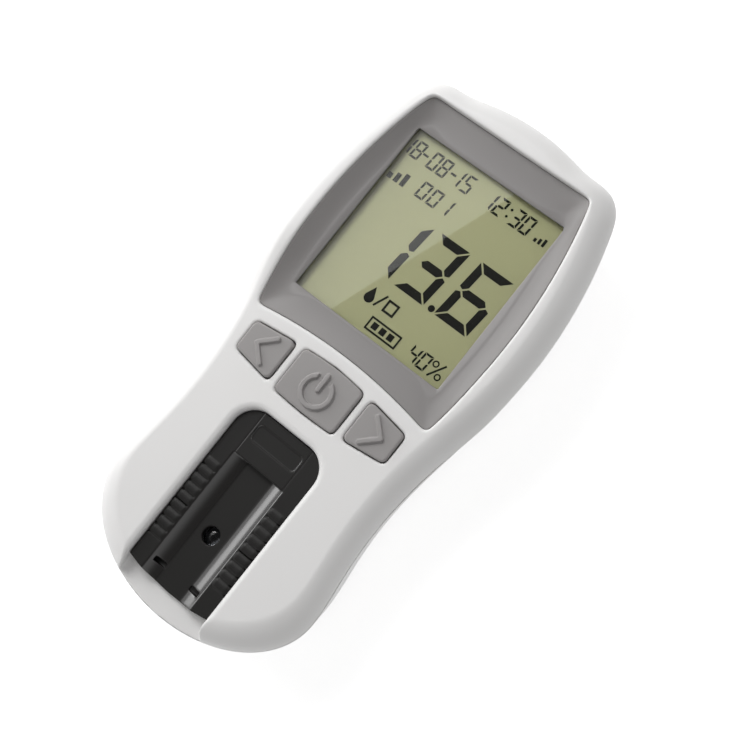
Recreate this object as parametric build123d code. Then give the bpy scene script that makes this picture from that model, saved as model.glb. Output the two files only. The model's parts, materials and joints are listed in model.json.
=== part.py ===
from build123d import *
from math import atan2, cos, degrees, radians, sin
import os

os.makedirs("parts", exist_ok=True)

# A hand-held hemoglobin meter lying on its back. Millimetres.
# +Y runs from the open end of the strip bay to the display end, +Z is up through the display.
# Stations are measured along Y from the bay end of the housing.

# Rows along the housing, from the bay end to the display end
lip_length = 5.2
bay_length = 40.6
bay_to_keys = 4.4
key_row_length = 11.2
keys_to_dish = 3.0
dish_length = 54.2
dish_to_end = 6.9

# Half widths of the housing at its widest line, and where they lie
bulge_half_width = 27.5
bulge_station = 19.0
waist_half_width = 25.9
waist_from_bay_top = 5.4
neck_half_width = 27.9
neck_into_keys = 2.0
screen_half_width = 31.5
screen_from_end = 43.0

# Outline points between those: half width and station, then half width and distance from the display end
flank_point = (26.5, 30.0)
hip_point = (30.3, 70.2)
display_end_points = [
    (29.3, 18.9),
    (27.1, 10.5),
    (24.7, 5.1),
    (22.1, 2.95),
    (19.1, 2.2),
    (15.8, 2.0),
    (10.4, 1.05),
    (5.2, 0.25),
]

# Heights
face_height = 23.4
parting_height = 17.8
wall = 2.0
face_wall = 2.2
shoulder_run = 5.2
shoulder_rise_power = 1.5
shoulder_run_power = 1.7
back_draft = 0.27
back_round = 4.2
cavity_round = 2.5

# Raised rim beside and above the display: it ramps up past the keys
screen_lift = 1.6
rim_ramp_start = 3.0
rim_ramp_length = 16.0

# Tongue and groove between the shells
tongue_inset = 1.7
tongue_width = 1.0
tongue_height = 1.1
joint_clearance = 0.1

# Display dish
dish_top_half_width = 20.3
dish_waist_half_width = 25.0
dish_bottom_half_width = 22.7
dish_bottom_drop = 2.2
dish_top_corner = 1.6
dish_bottom_corner = 2.0
dish_depth = 0.9
dish_wall_run = 3.2
dish_seat_depth = 3.0
bezel_gap = 0.12
bezel_edge_drop = 0.5
bezel_edge = 0.3
dish_ledge = 1.4
dish_ledge_margin = 1.6

# Display window and glass
view_width = 38.0
view_length = 41.0
view_from_dish = 6.0
window_border = 1.5
window_thickness = 1.0
window_ledge = 0.5
window_gap = 0.1
adhesive_thickness = 0.1
glass_thickness = 0.7
glass_side_border = 1.2
glass_contact_ledge = 2.5
glass_to_window = 0.3
polarizer_thickness = 0.2
reflector_thickness = 0.25
film_margin = 0.4
glass_pocket_gap = 0.4
holder_frame_width = 3.0
connector_width = 1.8
connector_end_gap = 1.0

# Keys
key_proud = 0.5
key_gap = 0.2
key_corner = 1.2
key_edge_round = 0.4
key_flange = 0.8
key_flange_thickness = 0.6
key_travel = 0.5
power_key_half_width = 7.9
power_key_bow = 0.6
arrow_key_inner = 10.1
arrow_key_outer = 20.0
arrow_key_inner_length = 9.6
arrow_key_outer_length = 6.9
mark_height = 0.25
mark_stroke = 0.95
power_ring_radius = 3.3
power_bar_length = 3.9
power_gap_width = 3.4
power_mark_drop = 0.5
chevron_reach = 3.3
chevron_half_height = 3.1

# Tactile switches
switch_size = 6.0
switch_height = 2.5
plunger_radius = 1.7
plunger_clearance = 0.1
plunger_sink = 0.7

# Strip bay and tray
bay_half_width = 11.05
bay_corner = 5.5
bay_depth = 4.6
bay_floor = 1.6
bay_wall = 2.3
bay_undercut = 0.5
bay_undercut_height = 2.2
bay_round_length = 7.0
bay_rim_round = 0.9
bay_rim_steps = 4
lip_drop = 0.7
tray_gap = 0.15
rail_depth = 1.7
channel_half_width = 6.9
channel_floor_half_width = 3.4
channel_floor_thickness = 1.1
channel_from_bay_top = 10.2
tray_end_bow = 1.4
rib_first_from_bay_top = 16.1
rib_pitch = 2.2
rib_count = 9
rib_groove_width = 0.5
rib_groove_depth = 0.5
rib_inner_from_channel = 0.3
strip_stop_station = 8.3
strip_stop_width = 1.2
strip_stop_depth = 0.5
head_recess_half_width = 6.0
head_recess_length = 4.0
head_recess_from_bay_top = 2.4
head_recess_corner = 1.2
head_recess_depth = 0.25
view_hole_radius = 2.0
view_hole_station = 19.4

# Measuring optics
optic_window_radius = 2.45
optic_window_gap = 0.05
optic_flange_radius = 3.6
optic_flange_thickness = 0.6
optic_dome_rise = 0.9
optics_block_size = 13.0
optics_bore_radius = 1.6
lamp_bore_radius = 1.4
lamp_offset = 4.2
lamp_height = 1.2
lamp_gap = 0.15
sensor_width = 2.0
sensor_height = 0.9

# Circuit boards
board_thickness = 1.6
main_board_top = 16.8
main_board_half_width = 20.5
main_board_ear_half_width = 27.0
main_board_ear_length = 13.0
main_board_bay_overlap = 2.0
main_board_end_margin = 0.5
sensor_board_top = 9.0
sensor_board_half_width = 13.0
sensor_board_start = 9.5
sensor_board_end = 54.5
header_width = 12.7
header_depth = 2.5
header_station = 51.8

# Cells and their box
cell_radius = 5.25
cell_length = 44.5
cell_nub_radius = 1.9
cell_nub_length = 1.0
cell_edge_round = 0.4
cell_gap = 0.4
cell_floor_gap = 0.25
cell_roof_gap = 0.5
cell_box_wall = 1.5
cell_box_roof = 1.0
cell_box_start = 62.8
plate_thickness = 0.4
plate_size = 9.0
spring_length = 4.6
spring_radius = 2.6
spring_wire = 0.3
spring_turns = 4

# Cell door
door_thickness = 2.0
door_rest_gap = 0.15
door_side_gap = 0.2
door_half_width = 12.4
door_tongue_width = 1.4
door_tongue_thickness = 1.0
door_rail_roof = 1.2
door_grip_count = 6
door_grip_pitch = 1.6
door_grip_width = 0.8
door_grip_depth = 0.4
door_grip_length = 12.0
door_grip_from_end = 14.0

# Screws
screw_radius = 1.0
screw_head_radius = 1.8
screw_head_height = 1.5
screw_clearance = 0.25
screw_pilot_gap = 0.02
screw_bite = 6.5
screw_pocket_depth = 7.0
screw_pocket_radius = 2.1
screw_seat = 3.5
screw_slot_share = 0.65
screw_slot_half_width = 0.3
boss_wall = 0.9
boss_gap = 0.1
front_boss_radius = 2.4
upper_screw_half_span = 23.3
upper_screw_station = 90.0
lower_screw_half_span = 18.5
lower_screw_station = 16.8
board_screw_radius = 0.8
board_screw_head_radius = 1.7
board_screw_head_height = 1.2
board_screw_bite = 3.0
board_post_radius = 1.9
main_board_screw_half_span = 24.9
main_board_screw_station = 78.0
sensor_board_screw_half_span = 9.5
sensor_board_screw_first = 13.0
sensor_board_screw_last = 43.0

# Board components
chip_size = 10.0
chip_height = 1.4
chip_half_span = 14.0
chip_station = 55.0
memory_size = (5.0, 4.0)
memory_height = 1.5
memory_station = 57.5
crystal_size = (3.2, 1.5)
crystal_height = 0.9
crystal_half_span = 6.5
buzzer_radius = 4.5
buzzer_height = 2.2
buzzer_port_radius = 1.0

# Stations and heights worked out from the sizes above
bay_start = lip_length
bay_top = bay_start + bay_length
key_row_start = bay_top + bay_to_keys
key_row_end = key_row_start + key_row_length
key_row_middle = (key_row_start + key_row_end) / 2
dish_start = key_row_end + keys_to_dish
dish_end = dish_start + dish_length
body_length = dish_end + dish_to_end
waist_station = bay_top - waist_from_bay_top
neck_station = key_row_end - neck_into_keys
screen_station = body_length - screen_from_end
view_start = dish_start + view_from_dish
view_end = view_start + view_length

face_drop = face_height - parting_height
rim_top = face_height + screen_lift
ceiling = face_height - face_wall
dish_seat = face_height - dish_seat_depth
dish_floor = face_height - dish_depth
window_top = dish_floor - window_ledge - adhesive_thickness
window_bottom = window_top - window_thickness
polarizer_top = window_bottom - glass_to_window
front_glass_top = polarizer_top - polarizer_thickness
rear_glass_top = front_glass_top - glass_thickness
reflector_top = rear_glass_top - glass_thickness
holder_top = reflector_top - reflector_thickness
glass_half_width = view_width / 2 + glass_side_border
glass_start = view_start - glass_side_border
rear_glass_end = view_end + glass_side_border
front_glass_end = rear_glass_end + glass_contact_ledge
key_top = face_height + key_proud
flange_bottom = ceiling - key_flange_thickness
main_board_bottom = main_board_top - board_thickness
switch_top = main_board_top + switch_height
bay_floor_top = face_height - bay_depth
bay_floor_bottom = bay_floor_top - bay_floor
rail_top = face_height - rail_depth
channel_floor_top = bay_floor_top + channel_floor_thickness
block_half_width = bay_half_width + bay_wall
sensor_board_bottom = sensor_board_top - board_thickness
cell_axis_height = door_rest_gap + door_thickness + cell_floor_gap + cell_radius
cell_offset = cell_radius + cell_gap / 2
cell_box_half_width = 2 * cell_radius + cell_gap
cell_box_length = cell_length + spring_length + 2 * plate_thickness
cell_box_end = cell_box_start + cell_box_length
cell_roof = cell_axis_height + cell_radius + cell_roof_gap
rear_boss_radius = screw_pocket_radius + boss_wall
boss_split = screw_pocket_depth + screw_seat
arrow_key_middle = (arrow_key_inner + arrow_key_outer) / 2
switch_half_spans = {"left": -arrow_key_middle, "power": 0.0, "right": arrow_key_middle}
housing_screw_places = [
    (side * span, station)
    for span, station in (
        (lower_screw_half_span, lower_screw_station),
        (upper_screw_half_span, upper_screw_station),
    )
    for side in (-1, 1)
]
main_board_screw_places = [
    (-main_board_screw_half_span, main_board_screw_station),
    (main_board_screw_half_span, main_board_screw_station),
    (0.0, bay_top + bay_wall / 2),
]
sensor_board_screw_places = [
    (-sensor_board_screw_half_span, sensor_board_screw_first),
    (sensor_board_screw_half_span, sensor_board_screw_first),
    (-sensor_board_screw_half_span, sensor_board_screw_last),
    (sensor_board_screw_half_span, sensor_board_screw_last),
]

# Levels at which the sections of the front shell are drawn, as shares of its two heights.
# A last section lies beyond the plane that cuts it flat.
face_levels = [0.0, 0.16, 0.42, 0.7, 0.9, 1.0]
rim_levels = [0.45, 0.8, 1.0]
section_overrun = 0.25
overrun_slope = 2.5


# Helpers

def y_of(station):
    return station - body_length / 2


def box(x_low, x_high, station_low, station_high, z_low, z_high):
    """Block between two corners, its length given by stations."""
    size = (x_high - x_low, station_high - station_low, z_high - z_low)
    middle = ((x_low + x_high) / 2, y_of((station_low + station_high) / 2), (z_low + z_high) / 2)
    return Pos(*middle) * Box(*size)


def rod(radius, x, station, z_low, z_high):
    """Upright round bar."""
    return Pos(x, y_of(station), (z_low + z_high) / 2) * Cylinder(radius, z_high - z_low)


def save(shape, node):
    export_step(shape, f"parts/{node}.step")


def save_group(shapes, node):
    """Identical loose pieces share one node as separate solids."""
    save(Compound(children=[shape.solid() for shape in shapes]), node)


# Outlines

def inset_at(height, lift):
    """How far the wall stands in from its widest line, which lies lift above the parting plane."""
    widest = parting_height + lift
    if height >= widest:
        share = min(1.0, (height - widest) / face_drop)
        round_edge = 1 - (1 - share**shoulder_rise_power) ** (1 / shoulder_run_power)
        beyond = max(0.0, height - widest - face_drop)
        return shoulder_run * round_edge + overrun_slope * beyond
    return back_draft * (widest - height)


def place(side, half_width, station, inset):
    """Point of the outline, drawn in towards the middle of the housing."""
    across = 1 - inset / screen_half_width
    along = 1 - inset / (body_length / 2)
    return (side * half_width * across, y_of(station) * along)


def outline(inset, height, follow=None):
    """Housing outline at a height, drawn in by inset and, where follow is given, by the wall there."""
    low = inset if follow is None else inset + inset_at(follow, 0)
    high = inset if follow is None else inset + inset_at(follow, screen_lift)
    along = 1 - low / (body_length / 2)
    edges = [
        EllipticalCenterArc(
            (0, y_of(bulge_station) * along),
            bulge_half_width * (1 - low / screen_half_width),
            bulge_station * along,
            start_angle=180,
            arc_size=180,
        )
    ]
    for side in (1, -1):
        points = [
            place(side, bulge_half_width, bulge_station, low),
            place(side, *flank_point, low),
            place(side, waist_half_width, waist_station, low),
            place(side, neck_half_width, neck_station, low),
            place(side, *hip_point, high),
            place(side, screen_half_width, screen_station, high),
        ]
        for half_width, from_end in display_end_points:
            points.append(place(side, half_width, body_length - from_end, high))
        points.append(place(side, 0, body_length, high))
        edges.append(Spline(points, tangents=[(0, 1), (-side, 0)]))
    return Pos(0, 0, height) * make_face(edges)


def prism(inset, z_low, z_high):
    """Upright block with the housing's outline drawn in by inset."""
    return extrude(outline(inset, z_low), z_high - z_low)


def dish_outline(inset, height):
    """Outline of the display dish: a straight top, bowed sides and a bowed bottom."""
    top = y_of(dish_end) - inset
    bottom = y_of(dish_start) + inset
    corner = bottom - dish_bottom_drop
    top_x = dish_top_half_width - inset
    side_x = dish_waist_half_width - inset
    bottom_x = dish_bottom_half_width - inset
    edges = [
        Line((-top_x, top), (top_x, top)),
        ThreePointArc((top_x, top), (side_x, (top + corner) / 2), (bottom_x, corner)),
        ThreePointArc((bottom_x, corner), (0, bottom), (-bottom_x, corner)),
        ThreePointArc((-bottom_x, corner), (-side_x, (top + corner) / 2), (-top_x, top)),
    ]
    corners = make_face(edges).vertices().sort_by(Axis.Y)
    face = fillet(corners[:2], dish_bottom_corner)
    face = fillet(face.vertices().group_by(Axis.Y)[-1], dish_top_corner)
    return Pos(0, 0, height) * face


def view_block(border, z_low, z_high, end_extra=0.0):
    """Block round the visible part of the display, longer at the display end by end_extra."""
    half = view_width / 2 + border
    return box(-half, half, view_start - border, view_end + border + end_extra, z_low, z_high)


def stroke(start, end):
    """Round-ended stroke of a raised mark."""
    line = Line(start, end)
    angle = degrees(atan2(end[1] - start[1], end[0] - start[0]))
    return Pos(*line.center()) * Rot(0, 0, angle) * SlotCenterToCenter(line.length, mark_stroke)


def key_outline(name, grow):
    """Outline of a key, drawn out by grow."""
    if name == "power":
        low = y_of(key_row_start)
        high = y_of(key_row_end)
        half = power_key_half_width
        high_corner = high - power_key_bow
        low_corner = low + power_key_bow / 2
        edges = [
            ThreePointArc((-half, high_corner), (0, high), (half, high_corner)),
            Line((half, high_corner), (half, low_corner)),
            ThreePointArc((half, low_corner), (0, low), (-half, low_corner)),
            Line((-half, low_corner), (-half, high_corner)),
        ]
    else:
        side = 1 if name == "right" else -1
        middle = y_of(key_row_middle)
        edges = Polyline(
            (side * arrow_key_inner, middle - arrow_key_inner_length / 2),
            (side * arrow_key_outer, middle - arrow_key_outer_length / 2),
            (side * arrow_key_outer, middle + arrow_key_outer_length / 2),
            (side * arrow_key_inner, middle + arrow_key_inner_length / 2),
            close=True,
        ).edges()
    face = make_face(edges)
    face = fillet(face.vertices(), key_corner)
    return offset(face, grow) if grow else face


def key_mark(name):
    """Raised mark of a key: a ring with a bar in its gap, or a chevron."""
    middle = y_of(key_row_middle)
    if name == "power":
        ring = Circle(power_ring_radius + mark_stroke / 2) - Circle(power_ring_radius - mark_stroke / 2)
        gap = Pos(0, power_ring_radius) * Rectangle(power_gap_width, power_ring_radius)
        bar = stroke((0, 0.1 * power_bar_length), (0, power_bar_length))
        return Pos(0, middle - power_mark_drop) * (ring - gap + bar)
    side = 1 if name == "right" else -1
    tip = (side * (arrow_key_middle + chevron_reach / 2), middle)
    tail_x = side * (arrow_key_middle - chevron_reach / 2)
    arms = [stroke(tip, (tail_x, middle + up * chevron_half_height)) for up in (1, -1)]
    return arms[0] + arms[1]


# Housing

def front_outer():
    """Outer form of the front shell: the face is flat and ramps up to the raised rim."""
    heights = [parting_height + level * face_drop for level in face_levels]
    heights += [face_height + level * screen_lift for level in rim_levels]
    heights.append(rim_top + section_overrun)
    body = loft([outline(0, height, follow=height) for height in heights])
    ramp_low = y_of(neck_station + rim_ramp_start)
    above_face = Polyline(
        (-body_length, face_height),
        (ramp_low, face_height),
        (ramp_low + rim_ramp_length, rim_top),
        (body_length, rim_top),
        (body_length, 2 * rim_top),
        (-body_length, 2 * rim_top),
        close=True,
    )
    return body - extrude(make_face(Plane.YZ * above_face), 2 * screen_half_width, both=True)


def rear_outer():
    """Outer form of the rear shell: drafted sides and a rounded back edge."""
    body = loft([outline(0, 0, follow=0), outline(0, parting_height, follow=parting_height)])
    return fillet(body.edges().group_by(Axis.Z)[0], back_round)


front_form = front_outer()
rear_form = rear_outer()


def bay_plan(grow, station_low, height):
    """Outline of the strip bay drawn out by grow."""
    length = bay_top + grow - station_low
    middle = y_of(station_low + length / 2)
    plan = Pos(0, middle, height) * Rectangle(2 * (bay_half_width + grow), length)
    return fillet(plan.vertices().group_by(Axis.Y)[-1], bay_corner + grow)


def bay_space(gap, station_low, z_high):
    """Room of the strip bay, or with a gap the body of the tray that lies in it."""
    room = extrude(bay_plan(-gap, station_low, bay_floor_top), z_high - bay_floor_top)
    half = bay_half_width - gap
    foot = half + bay_undercut
    shoulder = bay_floor_top + bay_undercut_height - gap
    skirt_end = bay_top - bay_round_length - gap
    profile = Plane.XZ * make_face(
        Polyline(
            (-foot, bay_floor_top), (foot, bay_floor_top), (half, shoulder), (-half, shoulder), close=True
        ).edges()
    )
    skirt = Pos(0, y_of(station_low), 0) * extrude(profile, skirt_end - station_low, dir=(0, 1, 0))
    return room + skirt


def front_shell():
    inner = tongue_inset + tongue_width
    groove_top = parting_height + tongue_height + joint_clearance
    cavity = loft(
        [
            outline(inner, parting_height),
            outline(inner + joint_clearance, groove_top),
            outline(shoulder_run, ceiling),
        ],
        ruled=True,
    )
    groove = prism(tongue_inset - joint_clearance, parting_height, groove_top)
    shell = front_form - cavity - groove

    block_end = bay_top + bay_wall
    block = box(-block_half_width, block_half_width, -lip_length, block_end, bay_floor_bottom, face_height)
    under = prism(inner + screw_clearance, bay_floor_bottom, parting_height)
    shell += block & (front_form + under)

    ledge = extrude(dish_outline(-dish_ledge_margin, dish_seat - dish_ledge), ceiling - dish_seat + dish_ledge)
    shell += ledge & front_form
    for x, station in housing_screw_places:
        shell += rod(front_boss_radius, x, station, boss_split + boss_gap, ceiling)
    for x, station in main_board_screw_places:
        shell += rod(board_post_radius, x, station, main_board_top, ceiling)

    shell -= extrude(dish_outline(0, dish_seat), face_height)
    pocket_half = glass_half_width + glass_pocket_gap
    shell -= box(
        -pocket_half, pocket_half, glass_start - glass_pocket_gap, front_glass_end + glass_pocket_gap,
        parting_height - dish_ledge, dish_seat,
    )
    for name in switch_half_spans:
        shell -= extrude(Pos(0, 0, main_board_top) * key_outline(name, key_gap), face_height)

    shell -= bay_space(0, -lip_length, face_height + bay_depth)
    rim_sections = []
    for step in range(bay_rim_steps):
        angle = radians(90 * step / (bay_rim_steps - 1))
        height = face_height - bay_rim_round * (1 - sin(angle))
        rim_sections.append(bay_plan(bay_rim_round * (1 - cos(angle)), -lip_length, height))
    shell -= loft(rim_sections, ruled=True)
    lip = Plane.YZ * make_face(
        Polyline(
            (y_of(lip_length), bay_floor_top),
            (y_of(-lip_length), bay_floor_top - 2 * lip_drop),
            (y_of(-lip_length), bay_floor_top),
            close=True,
        ).edges()
    )
    shell -= extrude(lip, bay_half_width + bay_undercut, both=True)
    hole_radius = optic_window_radius + optic_window_gap
    shell -= rod(hole_radius, 0, view_hole_station, bay_floor_bottom - bay_floor, bay_floor_top)
    pilot_start = boss_split + boss_gap
    for x, station in housing_screw_places:
        shell -= rod(screw_radius + screw_pilot_gap, x, station, pilot_start, pilot_start + screw_bite)
    for x, station in main_board_screw_places:
        pilot_end = main_board_top + board_screw_bite
        shell -= rod(board_screw_radius + screw_pilot_gap, x, station, main_board_top, pilot_end)
    return shell


def rear_shell():
    rim_foot = parting_height - tongue_height
    cavity = loft(
        [
            outline(wall, wall, follow=wall),
            outline(wall, rim_foot, follow=rim_foot),
            outline(tongue_inset + tongue_width, parting_height),
        ],
        ruled=True,
    )
    cavity = fillet(cavity.edges().group_by(Axis.Z)[0], cavity_round)
    shell = rear_form - cavity
    tongue_top = parting_height + tongue_height
    tongue = prism(tongue_inset, parting_height, tongue_top)
    tongue -= prism(tongue_inset + tongue_width, parting_height, tongue_top)
    gate = block_half_width + joint_clearance
    tongue -= box(-gate, gate, -lip_length, bulge_station, parting_height, tongue_top)
    shell += tongue

    room_half = cell_box_half_width
    frame_half = room_half + cell_box_wall
    channel_top = door_rest_gap + door_thickness + joint_clearance
    rail_top_height = channel_top + door_rail_roof
    slot_half = door_half_width + door_tongue_width + door_side_gap
    rail_half = slot_half + cell_box_wall
    frame_start = cell_box_start - cell_box_wall
    frame_end = cell_box_end + cell_box_wall
    shell += box(-frame_half, frame_half, frame_start, frame_end, wall / 2, cell_roof + cell_box_roof)
    shell += box(-rail_half, rail_half, frame_start, body_length, wall / 2, rail_top_height) & rear_form
    shell -= box(-room_half, room_half, cell_box_start, cell_box_end, 0, cell_roof)
    opening_half = door_half_width + door_side_gap
    shell -= box(-opening_half, opening_half, frame_start, body_length, -wall, channel_top)
    slot_bottom = channel_top - door_tongue_thickness - 2 * joint_clearance
    shell -= box(-slot_half, slot_half, frame_start, body_length, slot_bottom, channel_top)

    for x, station in housing_screw_places:
        shell += rod(rear_boss_radius, x, station, 0, boss_split) & rear_form
    for x, station in housing_screw_places:
        shell -= rod(screw_pocket_radius, x, station, -wall, screw_pocket_depth)
        shell -= rod(screw_radius + screw_clearance, x, station, screw_pocket_depth, boss_split)
    for x, station in sensor_board_screw_places:
        shell += rod(board_post_radius, x, station, wall / 2, sensor_board_bottom)
    for x, station in sensor_board_screw_places:
        pilot_bottom = sensor_board_bottom - board_screw_bite
        shell -= rod(board_screw_radius + screw_pilot_gap, x, station, pilot_bottom, sensor_board_bottom)
    return shell


def battery_door():
    """Sliding door: a plate with a tongue down each side, its end cut to the housing's curve."""
    start = cell_box_start - cell_box_wall + joint_clearance
    bottom = door_rest_gap
    top = bottom + door_thickness
    tongue_half = door_half_width + door_tongue_width
    door = box(-door_half_width, door_half_width, start, body_length, bottom, top)
    door += box(-tongue_half, tongue_half, start, body_length, top - door_tongue_thickness, top)
    door = door & rear_form
    for row in range(door_grip_count):
        station = body_length - door_grip_from_end - row * door_grip_pitch
        half = door_grip_length / 2
        door -= box(-half, half, station, station + door_grip_width, 0, bottom + door_grip_depth)
    return door


# Display

def display_bezel():
    top = rim_top - bezel_edge_drop
    plate = extrude(dish_outline(bezel_gap, dish_seat), top - dish_seat)
    plate = plate & Pos(0, 0, -bezel_edge_drop) * front_form
    dish = loft([dish_outline(dish_wall_run, dish_floor), dish_outline(bezel_gap + bezel_edge, top)])
    pocket = view_block(window_border + window_gap, dish_seat, dish_floor - window_ledge)
    return plate - dish - view_block(0, dish_seat, face_height) - pocket


def display_window():
    return view_block(window_border, window_bottom, window_top)


def window_adhesive():
    top = window_top + adhesive_thickness
    return view_block(window_border, window_top, top) - view_block(film_margin, window_top, top)


def lcd_polarizer():
    return view_block(glass_side_border - film_margin, front_glass_top, polarizer_top)


def lcd_front_glass():
    return view_block(glass_side_border, rear_glass_top, front_glass_top, glass_contact_ledge)


def lcd_rear_glass():
    return view_block(glass_side_border, reflector_top, rear_glass_top)


def lcd_reflector():
    return view_block(glass_side_border - film_margin, holder_top, reflector_top)


def lcd_holder():
    """Open frame that carries the glasses on the board."""
    frame = view_block(glass_side_border, main_board_top, holder_top)
    return frame - view_block(-holder_frame_width, main_board_top, holder_top)


def elastomer_connector():
    start = rear_glass_end + (glass_contact_ledge - connector_width) / 2
    half = glass_half_width - connector_end_gap
    return box(-half, half, start, start + connector_width, main_board_top, rear_glass_top)


# Keys and switches

def key(name):
    body = extrude(Pos(0, 0, flange_bottom) * key_outline(name, 0), key_top - flange_bottom)
    body = fillet(body.edges().group_by(Axis.Z)[-1], key_edge_round)
    body += extrude(Pos(0, 0, flange_bottom) * key_outline(name, key_flange), key_flange_thickness)
    return body + extrude(Pos(0, 0, key_top - mark_height) * key_mark(name), 2 * mark_height)


def switch_housing(x):
    half = switch_size / 2
    body = box(x - half, x + half, key_row_middle - half, key_row_middle + half, main_board_top, switch_top)
    well_bottom = switch_top - plunger_sink - key_travel - plunger_clearance
    return body - rod(plunger_radius + plunger_clearance, x, key_row_middle, well_bottom, switch_top)


def plunger(x):
    return rod(plunger_radius, x, key_row_middle, switch_top - plunger_sink, flange_bottom)


# Strip bay

def strip_tray():
    start = lip_length
    tray = bay_space(tray_gap, start, rail_top)
    half = bay_half_width + bay_undercut
    bow_end = y_of(start + tray_end_bow)
    end_curve = make_face(
        [
            ThreePointArc((-half, bow_end), (0, y_of(start)), (half, bow_end)),
            *Polyline((half, bow_end), (half, y_of(0)), (-half, y_of(0)), (-half, bow_end)).edges(),
        ]
    )
    tray -= extrude(Pos(0, 0, bay_floor_top) * end_curve, bay_depth)

    channel = Plane.XZ * make_face(
        Polyline(
            (-channel_floor_half_width, channel_floor_top),
            (channel_floor_half_width, channel_floor_top),
            (channel_half_width, rail_top),
            (-channel_half_width, rail_top),
            close=True,
        ).edges()
    )
    channel_end = bay_top - channel_from_bay_top
    tray -= Pos(0, y_of(0), 0) * extrude(channel, channel_end, dir=(0, 1, 0))
    tray -= rod(view_hole_radius, 0, view_hole_station, bay_floor_top, channel_floor_top)

    recess_middle = bay_top - head_recess_from_bay_top - head_recess_length / 2
    recess = RectangleRounded(2 * head_recess_half_width, head_recess_length, head_recess_corner)
    recess = Pos(0, y_of(recess_middle), rail_top - head_recess_depth) * recess
    tray -= extrude(recess, 2 * head_recess_depth)

    rib_inner = channel_half_width + rib_inner_from_channel
    for row in range(rib_count):
        station = bay_top - rib_first_from_bay_top - row * rib_pitch
        for side in (-1, 1):
            low, high = sorted((side * rib_inner, side * bay_half_width))
            groove_bottom = rail_top - rib_groove_depth
            tray -= box(low, high, station, station + rib_groove_width, groove_bottom, rail_top)
    slot_middle = (channel_half_width + channel_floor_half_width) / 2
    slot_half = (channel_half_width - channel_floor_half_width) / 2
    for side in (-1, 1):
        low = side * slot_middle - slot_half
        slot_bottom = channel_floor_top - strip_stop_depth
        tray -= box(
            low, low + 2 * slot_half,
            strip_stop_station, strip_stop_station + strip_stop_width,
            slot_bottom, rail_top - strip_stop_depth,
        )
    return tray


def optic_window():
    """Clear disc with a flange under the bay floor and a shallow dome."""
    top = bay_floor_top - joint_clearance
    sphere_radius = (optic_window_radius**2 + optic_dome_rise**2) / (2 * optic_dome_rise)
    dome = Pos(0, y_of(view_hole_station), top - sphere_radius) * Sphere(sphere_radius)
    disc = rod(optic_window_radius, 0, view_hole_station, bay_floor_bottom, top) & dome
    flange_low = bay_floor_bottom - optic_flange_thickness
    return disc + rod(optic_flange_radius, 0, view_hole_station, flange_low, bay_floor_bottom)


def optics_block():
    half = optics_block_size / 2
    top = bay_floor_bottom - optic_flange_thickness
    block = box(-half, half, view_hole_station - half, view_hole_station + half, sensor_board_top, top)
    block -= rod(optics_bore_radius, 0, view_hole_station, sensor_board_top, top)
    for end in (-1, 1):
        block -= rod(lamp_bore_radius, 0, view_hole_station + end * lamp_offset, sensor_board_top, top)
    return block


def lamp(end):
    station = view_hole_station + end * lamp_offset
    radius = lamp_bore_radius - lamp_gap
    body = rod(radius, 0, station, sensor_board_top, sensor_board_top + lamp_height)
    return fillet(body.edges().group_by(Axis.Z)[-1], radius / 2)


def photodiode():
    half = sensor_width / 2
    low = view_hole_station - half
    return box(-half, half, low, low + sensor_width, sensor_board_top, sensor_board_top + sensor_height)


# Circuit boards

def main_board():
    start = bay_top - main_board_bay_overlap
    end = front_glass_end + main_board_end_margin
    bottom = main_board_bottom
    board = box(-main_board_half_width, main_board_half_width, start, end, bottom, main_board_top)
    ear_low = main_board_screw_station - main_board_ear_length / 2
    ear_high = main_board_screw_station + main_board_ear_length / 2
    ear = main_board_ear_half_width
    board += box(-ear, ear, ear_low, ear_high, bottom, main_board_top)
    for x, station in main_board_screw_places:
        board -= rod(board_screw_radius + joint_clearance, x, station, bottom, main_board_top)
    return board


def sensor_board():
    half = sensor_board_half_width
    board = box(-half, half, sensor_board_start, sensor_board_end, sensor_board_bottom, sensor_board_top)
    for x, station in sensor_board_screw_places:
        board -= rod(board_screw_radius + joint_clearance, x, station, sensor_board_bottom, sensor_board_top)
    return board


def under_board(size, x, station, height):
    """Component soldered to the underside of the main board."""
    return box(
        x - size[0] / 2, x + size[0] / 2, station - size[1] / 2, station + size[1] / 2,
        main_board_bottom - height, main_board_bottom,
    )


def buzzer():
    low = main_board_bottom - buzzer_height
    can = rod(buzzer_radius, chip_half_span, chip_station, low, main_board_bottom)
    return can - rod(buzzer_port_radius, chip_half_span, chip_station, low, low + buzzer_height / 2)


def amplifier_chip():
    width, length = memory_size
    station = (view_hole_station + header_station) / 2
    return box(
        -width / 2, width / 2, station - length / 2, station + length / 2,
        sensor_board_top, sensor_board_top + memory_height,
    )


def board_header():
    half = header_width / 2
    low = header_station - header_depth / 2
    return box(-half, half, low, low + header_depth, sensor_board_top, main_board_bottom)


# Cells and contacts

def along_y(shape, x, station):
    """Turn a piece built along +Z to lie along +Y from a station, at the height of the cells."""
    return Pos(x, y_of(station), cell_axis_height) * Rot(-90, 0, 0) * shape


def cell(side):
    """AAA cell; the left one points its nub to the display end, the right one to the bay end."""
    body_height = cell_length - cell_nub_length
    can = Pos(0, 0, body_height / 2) * Cylinder(cell_radius, body_height)
    can = fillet(can.edges(), cell_edge_round)
    nub = Pos(0, 0, body_height + cell_nub_length / 2) * Cylinder(cell_nub_radius, cell_nub_length)
    shape = can + nub
    if side < 0:
        return along_y(shape, -cell_offset, cell_box_start + plate_thickness + spring_length)
    return along_y(Rot(180, 0, 0) * shape, cell_offset, cell_box_end - plate_thickness - spring_length)


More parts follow.
